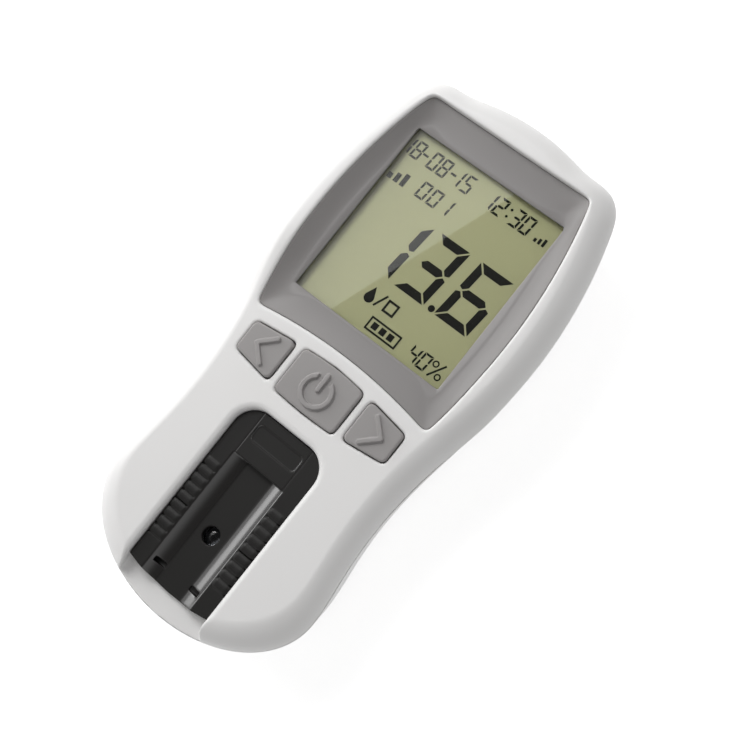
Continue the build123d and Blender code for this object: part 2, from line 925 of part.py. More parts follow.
def spring(side):
    """Contact spring between the plate and the flat end of its cell."""
    height = spring_length - 2 * spring_wire
    path = Helix(height / spring_turns, height, spring_radius)
    coil = sweep(Plane(path @ 0, z_dir=path % 0) * Circle(spring_wire), path=path, is_frenet=True)
    if side < 0:
        return along_y(coil, -cell_offset, cell_box_start + plate_thickness + spring_wire)
    return along_y(Rot(180, 0, 0) * coil, cell_offset, cell_box_end - plate_thickness - spring_wire)


def plate(side, station):
    half = plate_size / 2
    x = side * cell_offset
    return box(
        x - half, x + half, station, station + plate_thickness,
        cell_axis_height - half, cell_axis_height + half,
    )


# Screws

def screw(x, station, seat, head_radius, head_height, radius, length, up):
    """Cross-head screw whose head bears on the seat; its shank points up, or down where up is -1."""
    head_low, head_high = sorted((seat, seat - up * head_height))
    shank_low, shank_high = sorted((seat, seat + up * length))
    body = rod(head_radius, x, station, head_low, head_high) + rod(radius, x, station, shank_low, shank_high)
    outer = seat - up * head_height
    slot_half = head_radius * screw_slot_share
    slot_low, slot_high = sorted((outer, outer + up * head_height / 2))
    for half_x, half_y in ((slot_half, screw_slot_half_width), (screw_slot_half_width, slot_half)):
        body -= box(x - half_x, x + half_x, station - half_y, station + half_y, slot_low, slot_high)
    return body


def housing_screws():
    length = screw_seat + boss_gap + screw_bite - screw_clearance
    return [
        screw(x, station, screw_pocket_depth, screw_head_radius, screw_head_height, screw_radius, length, 1)
        for x, station in housing_screw_places
    ]


def board_screws():
    length = board_thickness + board_screw_bite - screw_clearance
    head = (board_screw_head_radius, board_screw_head_height, board_screw_radius, length)
    upper = [screw(x, station, main_board_bottom, *head, 1) for x, station in main_board_screw_places]
    lower = [screw(x, station, sensor_board_top, *head, -1) for x, station in sensor_board_screw_places]
    return upper + lower


single_pieces = {
    "front_shell": front_shell,
    "rear_shell": rear_shell,
    "battery_door": battery_door,
    "display_bezel": display_bezel,
    "display_window": display_window,
    "window_adhesive": window_adhesive,
    "lcd_polarizer": lcd_polarizer,
    "lcd_front_glass": lcd_front_glass,
    "lcd_rear_glass": lcd_rear_glass,
    "lcd_reflector": lcd_reflector,
    "lcd_holder": lcd_holder,
    "elastomer_connector": elastomer_connector,
    "strip_tray": strip_tray,
    "optic_window": optic_window,
    "optics_block": optics_block,
    "photodiode": photodiode,
    "main_board": main_board,
    "sensor_board": sensor_board,
    "buzzer": buzzer,
    "amplifier_chip": amplifier_chip,
    "board_header": board_header,
}
for node, make in single_pieces.items():
    save(make(), node)

for name, x in switch_half_spans.items():
    save(key(name), f"{name}_button")
    save(plunger(x), f"{name}_plunger")
save_group([switch_housing(x) for x in switch_half_spans.values()], "switch_housings")

save(under_board((chip_size, chip_size), -chip_half_span, chip_station, chip_height), "microcontroller")
save(under_board(memory_size, 0, memory_station, memory_height), "memory_chip")
save(under_board(crystal_size, -crystal_half_span, memory_station, crystal_height), "crystal")

save_group([lamp(end) for end in (-1, 1)], "leds")
save(cell(-1), "battery_left")
save(cell(1), "battery_right")
save_group([spring(side) for side in (-1, 1)], "battery_springs")
plate_stations = (cell_box_start, cell_box_end - plate_thickness)
save_group([plate(side, station) for side in (-1, 1) for station in plate_stations], "battery_plates")
save_group(housing_screws(), "housing_screws")
save_group(board_screws(), "board_screws")
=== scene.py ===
"""Looks of a hand-held hemoglobin meter that lies on its back under soft studio light.

Sizes are in millimetres and are turned to metres where a mesh is made. +Y runs from the open end of
the strip bay to the display end, and +Z is up through the display. Stations are measured along Y
from the bay end of the housing.
"""

from __future__ import annotations

import json
import logging
import math
from collections.abc import Sequence
from dataclasses import dataclass, field
from enum import Enum
from typing import ClassVar

import bmesh
import bpy
import numpy as np
from mathutils import Matrix, Vector

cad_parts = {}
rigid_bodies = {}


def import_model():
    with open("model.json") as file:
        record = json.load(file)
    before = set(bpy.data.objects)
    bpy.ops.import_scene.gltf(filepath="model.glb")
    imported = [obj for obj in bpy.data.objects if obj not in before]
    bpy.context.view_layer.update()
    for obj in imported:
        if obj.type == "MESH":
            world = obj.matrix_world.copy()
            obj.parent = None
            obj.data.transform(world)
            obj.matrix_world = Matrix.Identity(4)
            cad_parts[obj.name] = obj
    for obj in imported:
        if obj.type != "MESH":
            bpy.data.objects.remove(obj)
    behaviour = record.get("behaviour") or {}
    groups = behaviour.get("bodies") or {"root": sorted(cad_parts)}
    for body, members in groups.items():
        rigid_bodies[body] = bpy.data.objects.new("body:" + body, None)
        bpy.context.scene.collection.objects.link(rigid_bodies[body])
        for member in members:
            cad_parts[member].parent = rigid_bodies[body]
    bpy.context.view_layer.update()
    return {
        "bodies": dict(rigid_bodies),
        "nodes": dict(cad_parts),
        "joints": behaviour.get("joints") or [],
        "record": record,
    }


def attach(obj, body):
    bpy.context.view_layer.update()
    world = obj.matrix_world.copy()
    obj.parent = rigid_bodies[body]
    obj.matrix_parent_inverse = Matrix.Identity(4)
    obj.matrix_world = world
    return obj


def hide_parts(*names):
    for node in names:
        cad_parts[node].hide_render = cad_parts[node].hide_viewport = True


log = logging.getLogger("hemoglobin_meter")

MM = 0.001
# main measures of the housing in millimetres, which several pieces share
BODY_LENGTH = 125.5
PARTING_HEIGHT = 17.8
FACE_HEIGHT = 23.4
RIM_LIFT = 1.6
# holes in the face are cut down to this height, below the edge of the front shell
HOLE_FLOOR = PARTING_HEIGHT - 1
# how far a loop's points are smoothed for each millimetre of corner radius
SPREAD_PER_RADIUS = 0.55
# points of a CAD mesh closer than this, in metres, are the two sides of a seam
SEAM = 1e-6
# how often a moulding's skin is smoothed, and by how much each time
SMOOTHING_PASSES = 3
SMOOTHING_FACTOR = 0.5

# points of a flat curve or loop, count by 2
Loop = np.ndarray
Pair = tuple[float, float]
Point = tuple[float, float, float]


# Measures and curves


def y_of(station: float | np.ndarray) -> float | np.ndarray:
    """Turn a station along the housing into a Y coordinate."""
    return station - BODY_LENGTH / 2


def smooth_step(value: np.ndarray, low: float, high: float) -> np.ndarray:
    """Rise softly from 0 at low to 1 at high."""
    share = np.clip((value - low) / (high - low), 0.0, 1.0)
    return share * share * (3 - 2 * share)


def cubic_through(points: Sequence[Pair], count: int) -> Loop:
    """Smooth curve through points that starts along +Y and ends across it.

    Args:
        points: Points of one side, from the widest place of the bay end to the tip.
        count: How many points the curve gets.

    Returns:
        The points of the curve, count by 2.
    """
    knots = np.array(points, float)
    steps = np.linalg.norm(np.diff(knots, axis=0), axis=1)
    along = np.concatenate([[0.0], np.cumsum(steps)])
    size = len(knots)
    matrix = np.zeros((size, size))
    right = np.zeros((size, 2))
    matrix[0, 0] = matrix[-1, -1] = 1.0
    right[0] = (0.0, 1.0)
    right[-1] = (-1.0, 0.0)
    for row in range(1, size - 1):
        before, after = steps[row - 1], steps[row]
        matrix[row, row - 1 : row + 2] = (after, 2 * (before + after), before)
        rise_before = (knots[row] - knots[row - 1]) / before
        rise_after = (knots[row + 1] - knots[row]) / after
        right[row] = 3 * (rise_before * after + rise_after * before)
    slopes = np.linalg.solve(matrix, right)
    at = np.linspace(0.0, along[-1], count)
    span = np.clip(np.searchsorted(along, at, side="right") - 1, 0, size - 2)
    width = steps[span][:, None]
    t = ((at - along[span])[:, None]) / width
    start, end = knots[span], knots[span + 1]
    return (
        (2 * t**3 - 3 * t**2 + 1) * start
        + (t**3 - 2 * t**2 + t) * width * slopes[span]
        + (3 * t**2 - 2 * t**3) * end
        + (t**3 - t**2) * width * slopes[span + 1]
    )


def arc_through(start: Pair, middle: Pair, end: Pair, count: int) -> Loop:
    """Bow from start over middle to end, without the end point.

    Args:
        start: First point.
        middle: Point that the bow passes half way.
        end: Last point.
        count: How many points the bow gets.

    Returns:
        The points of the bow, count by 2.
    """
    t = np.linspace(0.0, 1.0, count, endpoint=False)[:, None]
    first, mid, last = (np.array(p, float) for p in (start, middle, end))
    control = 2 * mid - (first + last) / 2
    return (1 - t) ** 2 * first + 2 * t * (1 - t) * control + t**2 * last


def arc(centre: Sequence[float], radius: float, angles: np.ndarray) -> Loop:
    """Points round a centre at angles in radians."""
    return np.asarray(centre) + radius * np.stack([np.cos(angles), np.sin(angles)], axis=1)


def evenly(loop: Loop, count: int) -> Loop:
    """Place points at even distances round a closed loop.

    Args:
        loop: The loop.
        count: How many points the result gets.

    Returns:
        The evenly spaced points, count by 2.
    """
    closed = np.vstack([loop, loop[:1]])
    along = np.concatenate([[0.0], np.cumsum(np.linalg.norm(np.diff(closed, axis=0), axis=1))])
    at = np.linspace(0.0, along[-1], count, endpoint=False)
    return np.stack([np.interp(at, along, closed[:, axis]) for axis in (0, 1)], axis=1)


def smoothed(values: np.ndarray, spread: float) -> np.ndarray:
    """Smooth values round a closed ring.

    Args:
        values: One value or point for each place of the ring.
        spread: Width of the smoothing in places.

    Returns:
        The smoothed values.
    """
    # a bell curve, cut off at three times its width
    reach = int(math.ceil(3 * spread))
    offsets = np.arange(-reach, reach + 1)
    weights = np.exp(-0.5 * (offsets / max(spread, 1e-6)) ** 2)
    weights /= weights.sum()
    pairs = zip(weights, offsets)
    return sum(weight * np.roll(values, -offset, axis=0) for weight, offset in pairs)


def softened(loop: Loop, count: int, radius: float) -> Loop:
    """Round the corners of a closed loop.

    Args:
        loop: Corner points of the loop, in order.
        count: How many points the result gets.
        radius: About the radius that a square corner gets.

    Returns:
        The rounded loop, count by 2.
    """
    even = evenly(loop, count)
    length = np.linalg.norm(np.diff(np.vstack([even, even[:1]]), axis=0), axis=1).sum()
    return smoothed(even, SPREAD_PER_RADIUS * radius * count / length)


def tangents(loop: Loop) -> Loop:
    """Directions of length 1 along a closed loop.

    Args:
        loop: The loop.

    Returns:
        One direction for each point.
    """
    along = np.roll(loop, -1, axis=0) - np.roll(loop, 1, axis=0)
    return along / np.linalg.norm(along, axis=1)[:, None]


def grown(loop: Loop, distance: float | np.ndarray) -> Loop:
    """Move every point of an anticlockwise loop outwards.

    Args:
        loop: The loop.
        distance: How far, for all points or for each.

    Returns:
        The grown loop.
    """
    tangent = tangents(loop)
    normal = np.stack([tangent[:, 1], -tangent[:, 0]], axis=1)
    return loop + normal * np.broadcast_to(np.asarray(distance, float), (len(loop),))[:, None]


def at_height(loop: Loop, height: float | np.ndarray) -> np.ndarray:
    """Give a flat loop its height."""
    return np.column_stack([loop, np.broadcast_to(np.asarray(height, float), (len(loop),))])


# Meshes


def link_object(name: str, data: bpy.types.ID) -> bpy.types.Object:
    """Make an object of a mesh, lamp or camera and link it to the scene.

    Args:
        name: Name of the object.
        data: What it holds.

    Returns:
        The object.
    """
    made = bpy.data.objects.new(name, data)
    bpy.context.scene.collection.objects.link(made)
    return made


def new_piece(
    name: str, vertices: np.ndarray, faces: Sequence[Sequence[int]], smooth: bool = True
) -> bpy.types.Object:
    """Make a mesh piece from millimetre vertices, with its faces turned outwards.

    Args:
        name: Name of the piece.
        vertices: Points in millimetres, in the frame of the part.
        faces: Vertex numbers of each face.
        smooth: Whether the faces are shaded smooth.

    Returns:
        The new object, linked to the scene.
    """
    mesh = bpy.data.meshes.new(name)
    points = (np.asarray(vertices, float) * MM).tolist()
    mesh.from_pydata(points, [], [list(face) for face in faces])
    work = bmesh.new()
    work.from_mesh(mesh)
    bmesh.ops.recalc_face_normals(work, faces=work.faces)
    work.to_mesh(mesh)
    work.free()
    mesh.polygons.foreach_set("use_smooth", [smooth] * len(mesh.polygons))
    return link_object(name, mesh)


def ring_faces(rows: int, count: int, start: int = 0, tube: bool = False) -> list[list[int]]:
    """Faces that skin a row of rings.

    Args:
        rows: How many rings there are.
        count: How many points each ring has.
        start: Number of the first point of the first ring.
        tube: Whether the last ring joins the first. If not, both ends are closed by a face.

    Returns:
        The vertex numbers of each face.
    """
    faces: list[list[int]] = []
    for row in range(rows if tube else rows - 1):
        low = start + row * count
        high = start + (row + 1) % rows * count
        for i in range(count):
            j = (i + 1) % count
            faces.append([low + i, low + j, high + j, high + i])
    if not tube:
        last = start + (rows - 1) * count
        faces += [list(range(start, start + count)), list(range(last, last + count))]
    return faces


def from_rings(name: str, rings: Sequence[np.ndarray], tube: bool = False) -> bpy.types.Object:
    """Skin a row of rings into a closed piece, or into a closed tube."""
    return new_piece(name, np.vstack(rings), ring_faces(len(rings), len(rings[0]), tube=tube))


def from_bodies(
    name: str, bodies: Sequence[Sequence[np.ndarray]], smooth: bool = True
) -> bpy.types.Object:
    """Make one mesh of closed bodies, each of which is skinned over a row of rings.

    Args:
        name: Name of the piece.
        bodies: The rings of each body.
        smooth: Whether the faces are shaded smooth.

    Returns:
        The piece.
    """
    faces: list[list[int]] = []
    start = 0
    for rings in bodies:
        rows, count = len(rings), len(rings[0])
        faces += ring_faces(rows, count, start)
        start += rows * count
    return new_piece(name, np.vstack([ring for rings in bodies for ring in rings]), faces, smooth)


def slab(name: str, corners: Sequence[Point], shift: Point) -> bpy.types.Object:
    """Closed prism: a flat polygon moved along a vector.

    Args:
        name: Name of the piece.
        corners: Corners of the polygon.
        shift: The vector.

    Returns:
        The prism.
    """
    base = np.array(corners, float)
    return from_bodies(name, [[base, base + np.array(shift, float)]], smooth=False)


def rectangle(x: Pair, y: Pair, z: float) -> list[Point]:
    """Corners of a flat rectangle at height z, anticlockwise."""
    return [(x[0], y[0], z), (x[1], y[0], z), (x[1], y[1], z), (x[0], y[1], z)]


def settle(piece: bpy.types.Object) -> None:
    """Apply the modifiers of a piece to its mesh.

    Args:
        piece: The piece.
    """
    graph = bpy.context.evaluated_depsgraph_get()
    made = bpy.data.meshes.new_from_object(piece.evaluated_get(graph))
    piece.modifiers.clear()
    piece.data = made


def carve(piece: bpy.types.Object, cutters: Sequence[bpy.types.Object]) -> None:
    """Cut closed meshes out of a piece and remove them from the scene.

    Args:
        piece: The piece that stays.
        cutters: The meshes that are cut out.
    """
    for cutter in cutters:
        modifier = piece.modifiers.new("cut", "BOOLEAN")
        modifier.object = cutter
        modifier.operation = "DIFFERENCE"
        modifier.solver = "EXACT"
    settle(piece)
    for cutter in cutters:
        bpy.data.objects.remove(cutter)


def mould(piece: bpy.types.Object, grain: float) -> None:
    """Give a closed piece the small round edges of a moulding.

    Args:
        piece: The piece, which gets an even, finely divided skin.
        grain: Size of the skin's faces in millimetres.
    """
    remesh = piece.modifiers.new("skin", "REMESH")
    remesh.mode = "VOXEL"
    remesh.voxel_size = grain * MM
    remesh.use_smooth_shade = True
    soft = piece.modifiers.new("soft", "SMOOTH")
    soft.factor = SMOOTHING_FACTOR
    soft.iterations = SMOOTHING_PASSES
    settle(piece)
    piece.data.polygons.foreach_set("use_smooth", [True] * len(piece.data.polygons))


def copy_of_node(name: str, node: bpy.types.Object) -> bpy.types.Object:
    """Copy the mesh of a CAD node into a new piece with its seams joined.

    Args:
        name: Name of the new piece.
        node: The node.

    Returns:
        The new piece.
    """
    mesh = node.data.copy()
    work = bmesh.new()
    work.from_mesh(mesh)
    bmesh.ops.remove_doubles(work, verts=work.verts, dist=SEAM)
    work.to_mesh(mesh)
    work.free()
    return link_object(name, mesh)


# Materials


def linear(hex_code: str) -> tuple[float, float, float, float]:
    """Turn an sRGB colour into a linear one.

    Args:
        hex_code: The colour, as # and six hex digits.

    Returns:
        Linear red, green, blue and alpha.
    """
    parts = [int(hex_code[i : i + 2], 16) / 255 for i in (1, 3, 5)]
    channels = [p / 12.92 if p <= 0.04045 else ((p + 0.055) / 1.055) ** 2.4 for p in parts]
    return (channels[0], channels[1], channels[2], 1.0)


def add_node(
    tree: bpy.types.NodeTree,
    kind: str,
    links: dict[str | int, bpy.types.NodeSocket] | None = None,
    inputs: dict[str | int, object] | None = None,
    stops: Sequence[str] = (),
    **settings: object,
) -> bpy.types.Node:
    """Add a shader node.

    Args:
        tree: The tree that gets the node.
        kind: Type of the node, without its ShaderNode prefix.
        links: Sockets to link to the node's inputs, by input name or number.
        inputs: Values for the node's inputs, by input name or number.
        stops: Evenly spaced sRGB colours of a colour ramp, if the node is one.
        **settings: Attributes of the node itself.

    Returns:
        The new node.
    """
    node = tree.nodes.new("ShaderNode" + kind)
    for name, value in settings.items():
        setattr(node, name, value)
    for name, value in (inputs or {}).items():
        node.inputs[name].default_value = value
    for name, socket in (links or {}).items():
        tree.links.new(socket, node.inputs[name])
    if stops:
        ramp = node.color_ramp.elements
        ramp[0].color, ramp[1].color = linear(stops[0]), linear(stops[-1])
        for i, colour in enumerate(stops[1:-1], start=1):
            ramp.new(i / (len(stops) - 1)).color = linear(colour)
    return node


def new_material(name: str) -> tuple[bpy.types.Material, bpy.types.NodeTree, bpy.types.NodeSocket]:
    """Make an empty node material.

    Args:
        name: Name of the material.

    Returns:
        The material, its tree and the surface input of its output node.
    """
    material = bpy.data.materials.new(name)
    material.use_nodes = True
    tree = material.node_tree
    tree.nodes.clear()
    output = add_node(tree, "OutputMaterial")
    return material, tree, output.inputs["Surface"]


def grained(
    tree: bpy.types.NodeTree,
    place: bpy.types.NodeSocket,
    size: float,
    roughness: Pair,
    detail: float = 3.0,
) -> tuple[bpy.types.NodeSocket, bpy.types.NodeSocket]:
    """Cover a surface with a grain that its roughness follows.

    Args:
        tree: The material's tree.
        place: Coordinates of the surface.
        size: Distance from grain to grain in millimetres.
        roughness: Lowest and highest roughness.
        detail: How much finer unevenness lies on the grain.

    Returns:
        The grain's height, from 0 to 1, and the roughness.
    """
    scale = 1 / (size * MM)
    noise = add_node(tree, "TexNoise", {"Vector": place}, {"Scale": scale, "Detail": detail})
    span = {"To Min": roughness[0], "To Max": roughness[1]}
    rough = add_node(tree, "MapRange", {"Value": noise.outputs["Fac"]}, span)
    return noise.outputs["Fac"], rough.outputs["Result"]


def direct_rays(tree: bpy.types.NodeTree) -> tuple[bpy.types.NodeSocket, bpy.types.NodeSocket]:
    """Tell rays of the eye, of mirrors and through glass from those that light the object.

    Args:
        tree: The tree that gets the nodes.

    Returns:
        Whether a ray is the camera's own, and whether it is any of the three.
    """
    ray = add_node(tree, "LightPath")
    camera = seen = ray.outputs["Is Camera Ray"]
    for kind in ("Is Glossy Ray", "Is Transmission Ray"):
        either = add_node(tree, "Math", {0: seen, 1: ray.outputs[kind]}, operation="MAXIMUM")
        seen = either.outputs[0]
    return camera, seen


@dataclass(frozen=True)
class Moulded:
    """A moulded plastic or rubber: its colour drifts slightly under the fine grain of the mould.

    Attributes:
        name: Name of the material.
        colour: Body colour.
        shade: The colour it drifts to over some centimetres, as thick and thin walls do.
        roughness: Mean roughness of the skin.
        grain: Distance between the bumps of the mould's texture in millimetres.
        grain_depth: Height of those bumps in millimetres.
        edge: Radius that sharp edges seem to have in millimetres, or 0 for a rounded mesh.
        coat: Share of a clear gloss over the body colour.
        ior: Index of refraction of the plastic.
        gloss: Specular level, where 0.5 is what the index of refraction gives.
        DRIFT: Length over which the colour drifts in millimetres.
        SPREAD: How much the roughness varies to either side.
        COAT_ROUGHNESS: Roughness of the clear gloss.
    """

    name: str
    colour: str
    shade: str
    roughness: float
    grain: float
    grain_depth: float
    edge: float = 0.0
    coat: float = 0.0
    ior: float = 1.46
    gloss: float = 0.5

    DRIFT: ClassVar[float] = 22.2
    SPREAD: ClassVar[float] = 0.04
    COAT_ROUGHNESS: ClassVar[float] = 0.12

    def build(self) -> bpy.types.Material:
        """Make the material.

        Returns:
            The material.
        """
        material, tree, surface = new_material(self.name)
        place = add_node(tree, "TexCoord").outputs["Object"]
        scale = 1 / (self.DRIFT * MM)
        drift = add_node(tree, "TexNoise", {"Vector": place}, {"Scale": scale, "Detail": 2.0})
        stops = [self.shade, self.colour, self.colour]
        colour = add_node(tree, "ValToRGB", {"Fac": drift.outputs["Fac"]}, stops=stops)
        spread = (self.roughness - self.SPREAD, self.roughness + self.SPREAD)
        grit, rough = grained(tree, place, self.grain, spread)
        depth = self.grain_depth * MM
        bump = add_node(tree, "Bump", {"Height": grit}, {"Distance": depth, "Strength": 1.0})
        if self.edge:
            soft = add_node(tree, "Bevel", inputs={"Radius": self.edge * MM}, samples=4)
            tree.links.new(soft.outputs["Normal"], bump.inputs["Normal"])
        links = {"Base Color": colour.outputs["Color"], "Roughness": rough}
        links["Normal"] = bump.outputs["Normal"]
        inputs = {"IOR": self.ior, "Specular IOR Level": self.gloss}
        inputs |= {"Coat Weight": self.coat, "Coat Roughness": self.COAT_ROUGHNESS}
        shader = add_node(tree, "BsdfPrincipled", links, inputs)
        tree.links.new(shader.outputs[0], surface)
        return material


@dataclass(frozen=True)
class Clear:
    """A clear plastic or glass that lets lamps through to what lies under it.

    Attributes:
        name: Name of the material.
        tint: Colour that the light takes on.
        ior: Index of refraction.
        roughness: Lowest roughness of its faces.
        HAZE: Size of the spots of handling haze in millimetres.
        HAZE_ROUGHNESS: How much rougher those spots are.
    """

    name: str
    tint: str
    ior: float
    roughness: float = 0.0

    HAZE: ClassVar[float] = 6.25
    HAZE_ROUGHNESS: ClassVar[float] = 0.03

    def build(self) -> bpy.types.Material:
        """Make the material.

        Returns:
            The material.
        """
        material, tree, surface = new_material(self.name)
        place = add_node(tree, "TexCoord").outputs["Object"]
        # the haze keeps the gloss from being perfectly even
        spread = (self.roughness, self.roughness + self.HAZE_ROUGHNESS)
        _, rough = grained(tree, place, self.HAZE, spread, detail=4.0)
        tint = linear(self.tint)
        inputs = {"Base Color": tint, "IOR": self.ior, "Transmission Weight": 1.0}
        body = add_node(tree, "BsdfPrincipled", {"Roughness": rough}, inputs)
        through = add_node(tree, "BsdfTransparent", inputs={"Color": tint})
        shadow = add_node(tree, "LightPath").outputs["Is Shadow Ray"]
        mix = add_node(tree, "MixShader", {0: shadow, 1: body.outputs[0], 2: through.outputs[0]})
        tree.links.new(mix.outputs[0], surface)
        return material


@dataclass(frozen=True)
class Metal:
    """A plated or drawn metal with fine working marks along one direction.

    Attributes:
        name: Name of the material.
        colour: Colour of the metal's reflection.
        roughness: Mean roughness.
        marks: Distance between the working marks in millimetres.
        STRETCH: How narrow the pattern is made along Y, so that the marks run that way.
        SPREAD: How much smoother and how much rougher the metal is in places.
        MARK_DEPTH: Depth of the marks in millimetres.
        MARK_STRENGTH: How strongly the marks turn the light.
    """

    name: str
    colour: str
    roughness: float
    marks: float

    STRETCH: ClassVar[float] = 0.15
    SPREAD: ClassVar[Pair] = (0.08, 0.1)
    MARK_DEPTH: ClassVar[float] = 0.01
    MARK_STRENGTH: ClassVar[float] = 0.6

    def build(self) -> bpy.types.Material:
        """Make the material.

        Returns:
            The material.
        """
        material, tree, surface = new_material(self.name)
        place = add_node(tree, "TexCoord").outputs["Object"]
        drawn = add_node(tree, "Mapping", {"Vector": place}, {"Scale": (1.0, self.STRETCH, 1.0)})
        spread = (self.roughness - self.SPREAD[0], self.roughness + self.SPREAD[1])
        lines, rough = grained(tree, drawn.outputs["Vector"], self.marks, spread)
        height = {"Distance": self.MARK_DEPTH * MM, "Strength": self.MARK_STRENGTH}
        bump = add_node(tree, "Bump", {"Height": lines}, height)
        links = {"Roughness": rough, "Normal": bump.outputs["Normal"]}
        inputs = {"Base Color": linear(self.colour), "Metallic": 1.0}
        shader = add_node(tree, "BsdfPrincipled", links, inputs)
        tree.links.new(shader.outputs[0], surface)
        return material


@dataclass(frozen=True)
class Film:
    """A foil that scatters light back, with a colour that changes across the meter as painted
    shade.

    Attributes:
        name: Name of the material.
        colours: Colours from left to right, which paint shade where they grow darker.
        half_width: Distance from the middle to either end of those colours in millimetres.
        grain: Distance from grain to grain in millimetres.
        roughness: Lowest and highest roughness.
    """

    name: str
    colours: tuple[str, ...]
    half_width: float
    grain: float
    roughness: Pair

    def build(self) -> bpy.types.Material:
        """Make the material.

        Returns:
            The material.
        """
        material, tree, surface = new_material(self.name)
        place = add_node(tree, "TexCoord").outputs["Object"]
        parts = add_node(tree, "SeparateXYZ", {"Vector": place})
        span = {"From Min": -self.half_width * MM, "From Max": self.half_width * MM}
        across = add_node(tree, "MapRange", {"Value": parts.outputs["X"]}, span)
        # painted shade: the colours grow a little darker from left to right across the display
        colour = add_node(tree, "ValToRGB", {"Fac": across.outputs["Result"]}, stops=self.colours)
        _, rough = grained(tree, place, self.grain, self.roughness, detail=2.0)
        links = {"Base Color": colour.outputs["Color"], "Roughness": rough}
        shader = add_node(tree, "BsdfPrincipled", links)
        tree.links.new(shader.outputs[0], surface)
        return material


@dataclass(frozen=True)
class Crystal:
    """Liquid crystal switched dark, a little uneven as the gap between the glasses varies.

    Attributes:
        name: Name of the material.
        colours: The two colours between which it drifts.
        cloud: Length over which it drifts in millimetres.
        roughness: Roughness.
        gloss: Specular level, where 0.5 is what the index of refraction gives.
    """

    name: str
    colours: tuple[str, str]
    cloud: float
    roughness: float
    gloss: float

    def build(self) -> bpy.types.Material:
        """Make the material.

        Returns:
            The material.
        """
        material, tree, surface = new_material(self.name)
        place = add_node(tree, "TexCoord").outputs["Object"]
        scale = 1 / (self.cloud * MM)
        cloud = add_node(tree, "TexNoise", {"Vector": place}, {"Scale": scale, "Detail": 1.0})
        colour = add_node(tree, "ValToRGB", {"Fac": cloud.outputs["Fac"]}, stops=self.colours)
        inputs = {"Roughness": self.roughness, "Specular IOR Level": self.gloss}
        shader = add_node(tree, "BsdfPrincipled", {"Base Color": colour.outputs["Color"]}, inputs)
        tree.links.new(shader.outputs[0], surface)
        return material


class Finish(Enum):
    """Every finish on the meter. A finish with the name of a material slot is that slot's own."""

    # ABS, injection moulded in a finely sparked tool: a soft satin white with a low gloss
    WHITE_FRONT = Moulded("abs_white_moulded", "#F2F1F0", "#EEEDEB", 0.34, 0.16, 0.003)
    # the same on the plain solids of the back, whose edges seem slightly broken
    WHITE_SHELL = Moulded(
        "abs_white_moulded_back", "#F0EFEE", "#E9E8E6", 0.36, 0.16, 0.003, edge=0.3
    )
    # ABS, moulded and sprayed in grey: even and satin, so the dish shades without hot spots
    GREY_BEZEL = Moulded("abs_grey_sprayed", "#8F8C8B", "#8B8887", 0.42, 0.12, 0.002)
    # silicone rubber keypad, moulded: duller and a little warmer than the dish
    GREY_KEY = Moulded("silicone_grey_moulded", "#A09D9C", "#989594", 0.46, 0.1, 0.003, ior=1.41)
    # polycarbonate, moulded in a finely textured tool: near black and satin, so ribs barely glint
    BLACK_TRAY = Moulded(
        "polycarbonate_black_satin", "#201F1E", "#1C1B1A", 0.46, 0.2, 0.002, gloss=0.3
    )
    # the same plastic where the tool is polished: the channel's slopes mirror the lamps
    BLACK_SLOPE = Moulded(
        "polycarbonate_black_polished", "#211F1E", "#1B1A19", 0.32, 0.2, 0.001, coat=1.0
    )
    # acrylic sheet, polished: nearly invisible except where it mirrors the lamps
    CLEAR_WINDOW = Clear("acrylic_clear_polished", "#F7F8F4", 1.49)
    # soda glass: clear, with a trace of green
    LCD_GLASS = Clear("soda_glass_clear", "#F1F5EE", 1.46, 0.02)
    # polariser foil over a reflector: grey green and matt, with painted shade that makes it a
    # little darker to the right, and a grain that is drawn coarser than the real one so that it
    # shows
    LCD_FILM = Film(
        "polariser_film_reflective", ("#A09F7C", "#A09F7A", "#9F9E78"), 19.0, 0.25, (0.5, 0.62)
    )
    # liquid crystal under voltage: near black without a gloss of its own
    LCD_DARK = Crystal("liquid_crystal_dark", ("#080706", "#100F0D"), 8.3, 0.6, 0.1)
    # polycarbonate, moulded clear: a small lens that bends what lies under it
    LENS_CLEAR = Clear("polycarbonate_clear_moulded", "#D8DCE2", 1.58, 0.04)
    # nylon, moulded: a dull black
    BLACK_PLASTIC = Moulded("nylon_black_moulded", "#1E1E1E", "#191919", 0.5, 0.2, 0.004, edge=0.1)
    # polycarbonate, moulded with pigment: a dull, slightly yellow white
    WHITE_PLASTIC = Moulded(
        "polycarbonate_white_moulded", "#D0D0CC", "#C8C8C4", 0.45, 0.2, 0.004, edge=0.1
    )
    # filled epoxy, moulded over the chips: a fine matt black
    CHIP_BLACK = Moulded("epoxy_black_moulded", "#232324", "#1D1D1E", 0.55, 0.08, 0.004, edge=0.08)
    # smoked epoxy, cast over the photodiode: dark and glossy
    SILICON = Moulded("epoxy_smoked_moulded", "#2A2A33", "#24242C", 0.18, 0.3, 0.001, edge=0.05)
    # glass-fibre board under solder mask: green with the weave just showing through
    BOARD_LAMINATE = Moulded(
        "fibre_board_solder_mask", "#1F5B38", "#1A4E30", 0.38, 0.5, 0.006, edge=0.05, coat=0.3
    )
    # steel, nickel plated: warm and bright, as contacts and cell ends are
    NICKEL = Metal("steel_nickel_plated", "#C9C6C0", 0.28, 0.4)
    # spring wire, drawn: greyer, with marks along the wire
    SPRING_STEEL = Metal("spring_steel_drawn", "#A9A9AB", 0.33, 0.1)
    # screw steel, zinc plated: a dull bluish grey
    SCREW_STEEL = Metal("steel_zinc_plated", "#A3A5A8", 0.36, 0.2)
    # steel can, printed dark: metal that shines through a dark varnish
    CELL_CAN = Metal("steel_can_printed_dark", "#3A3D44", 0.3, 0.3)

    def material(self) -> bpy.types.Material:
        """Return the finish's material, made at its first use."""
        return bpy.data.materials.get(self.value.name) or self.value.build()


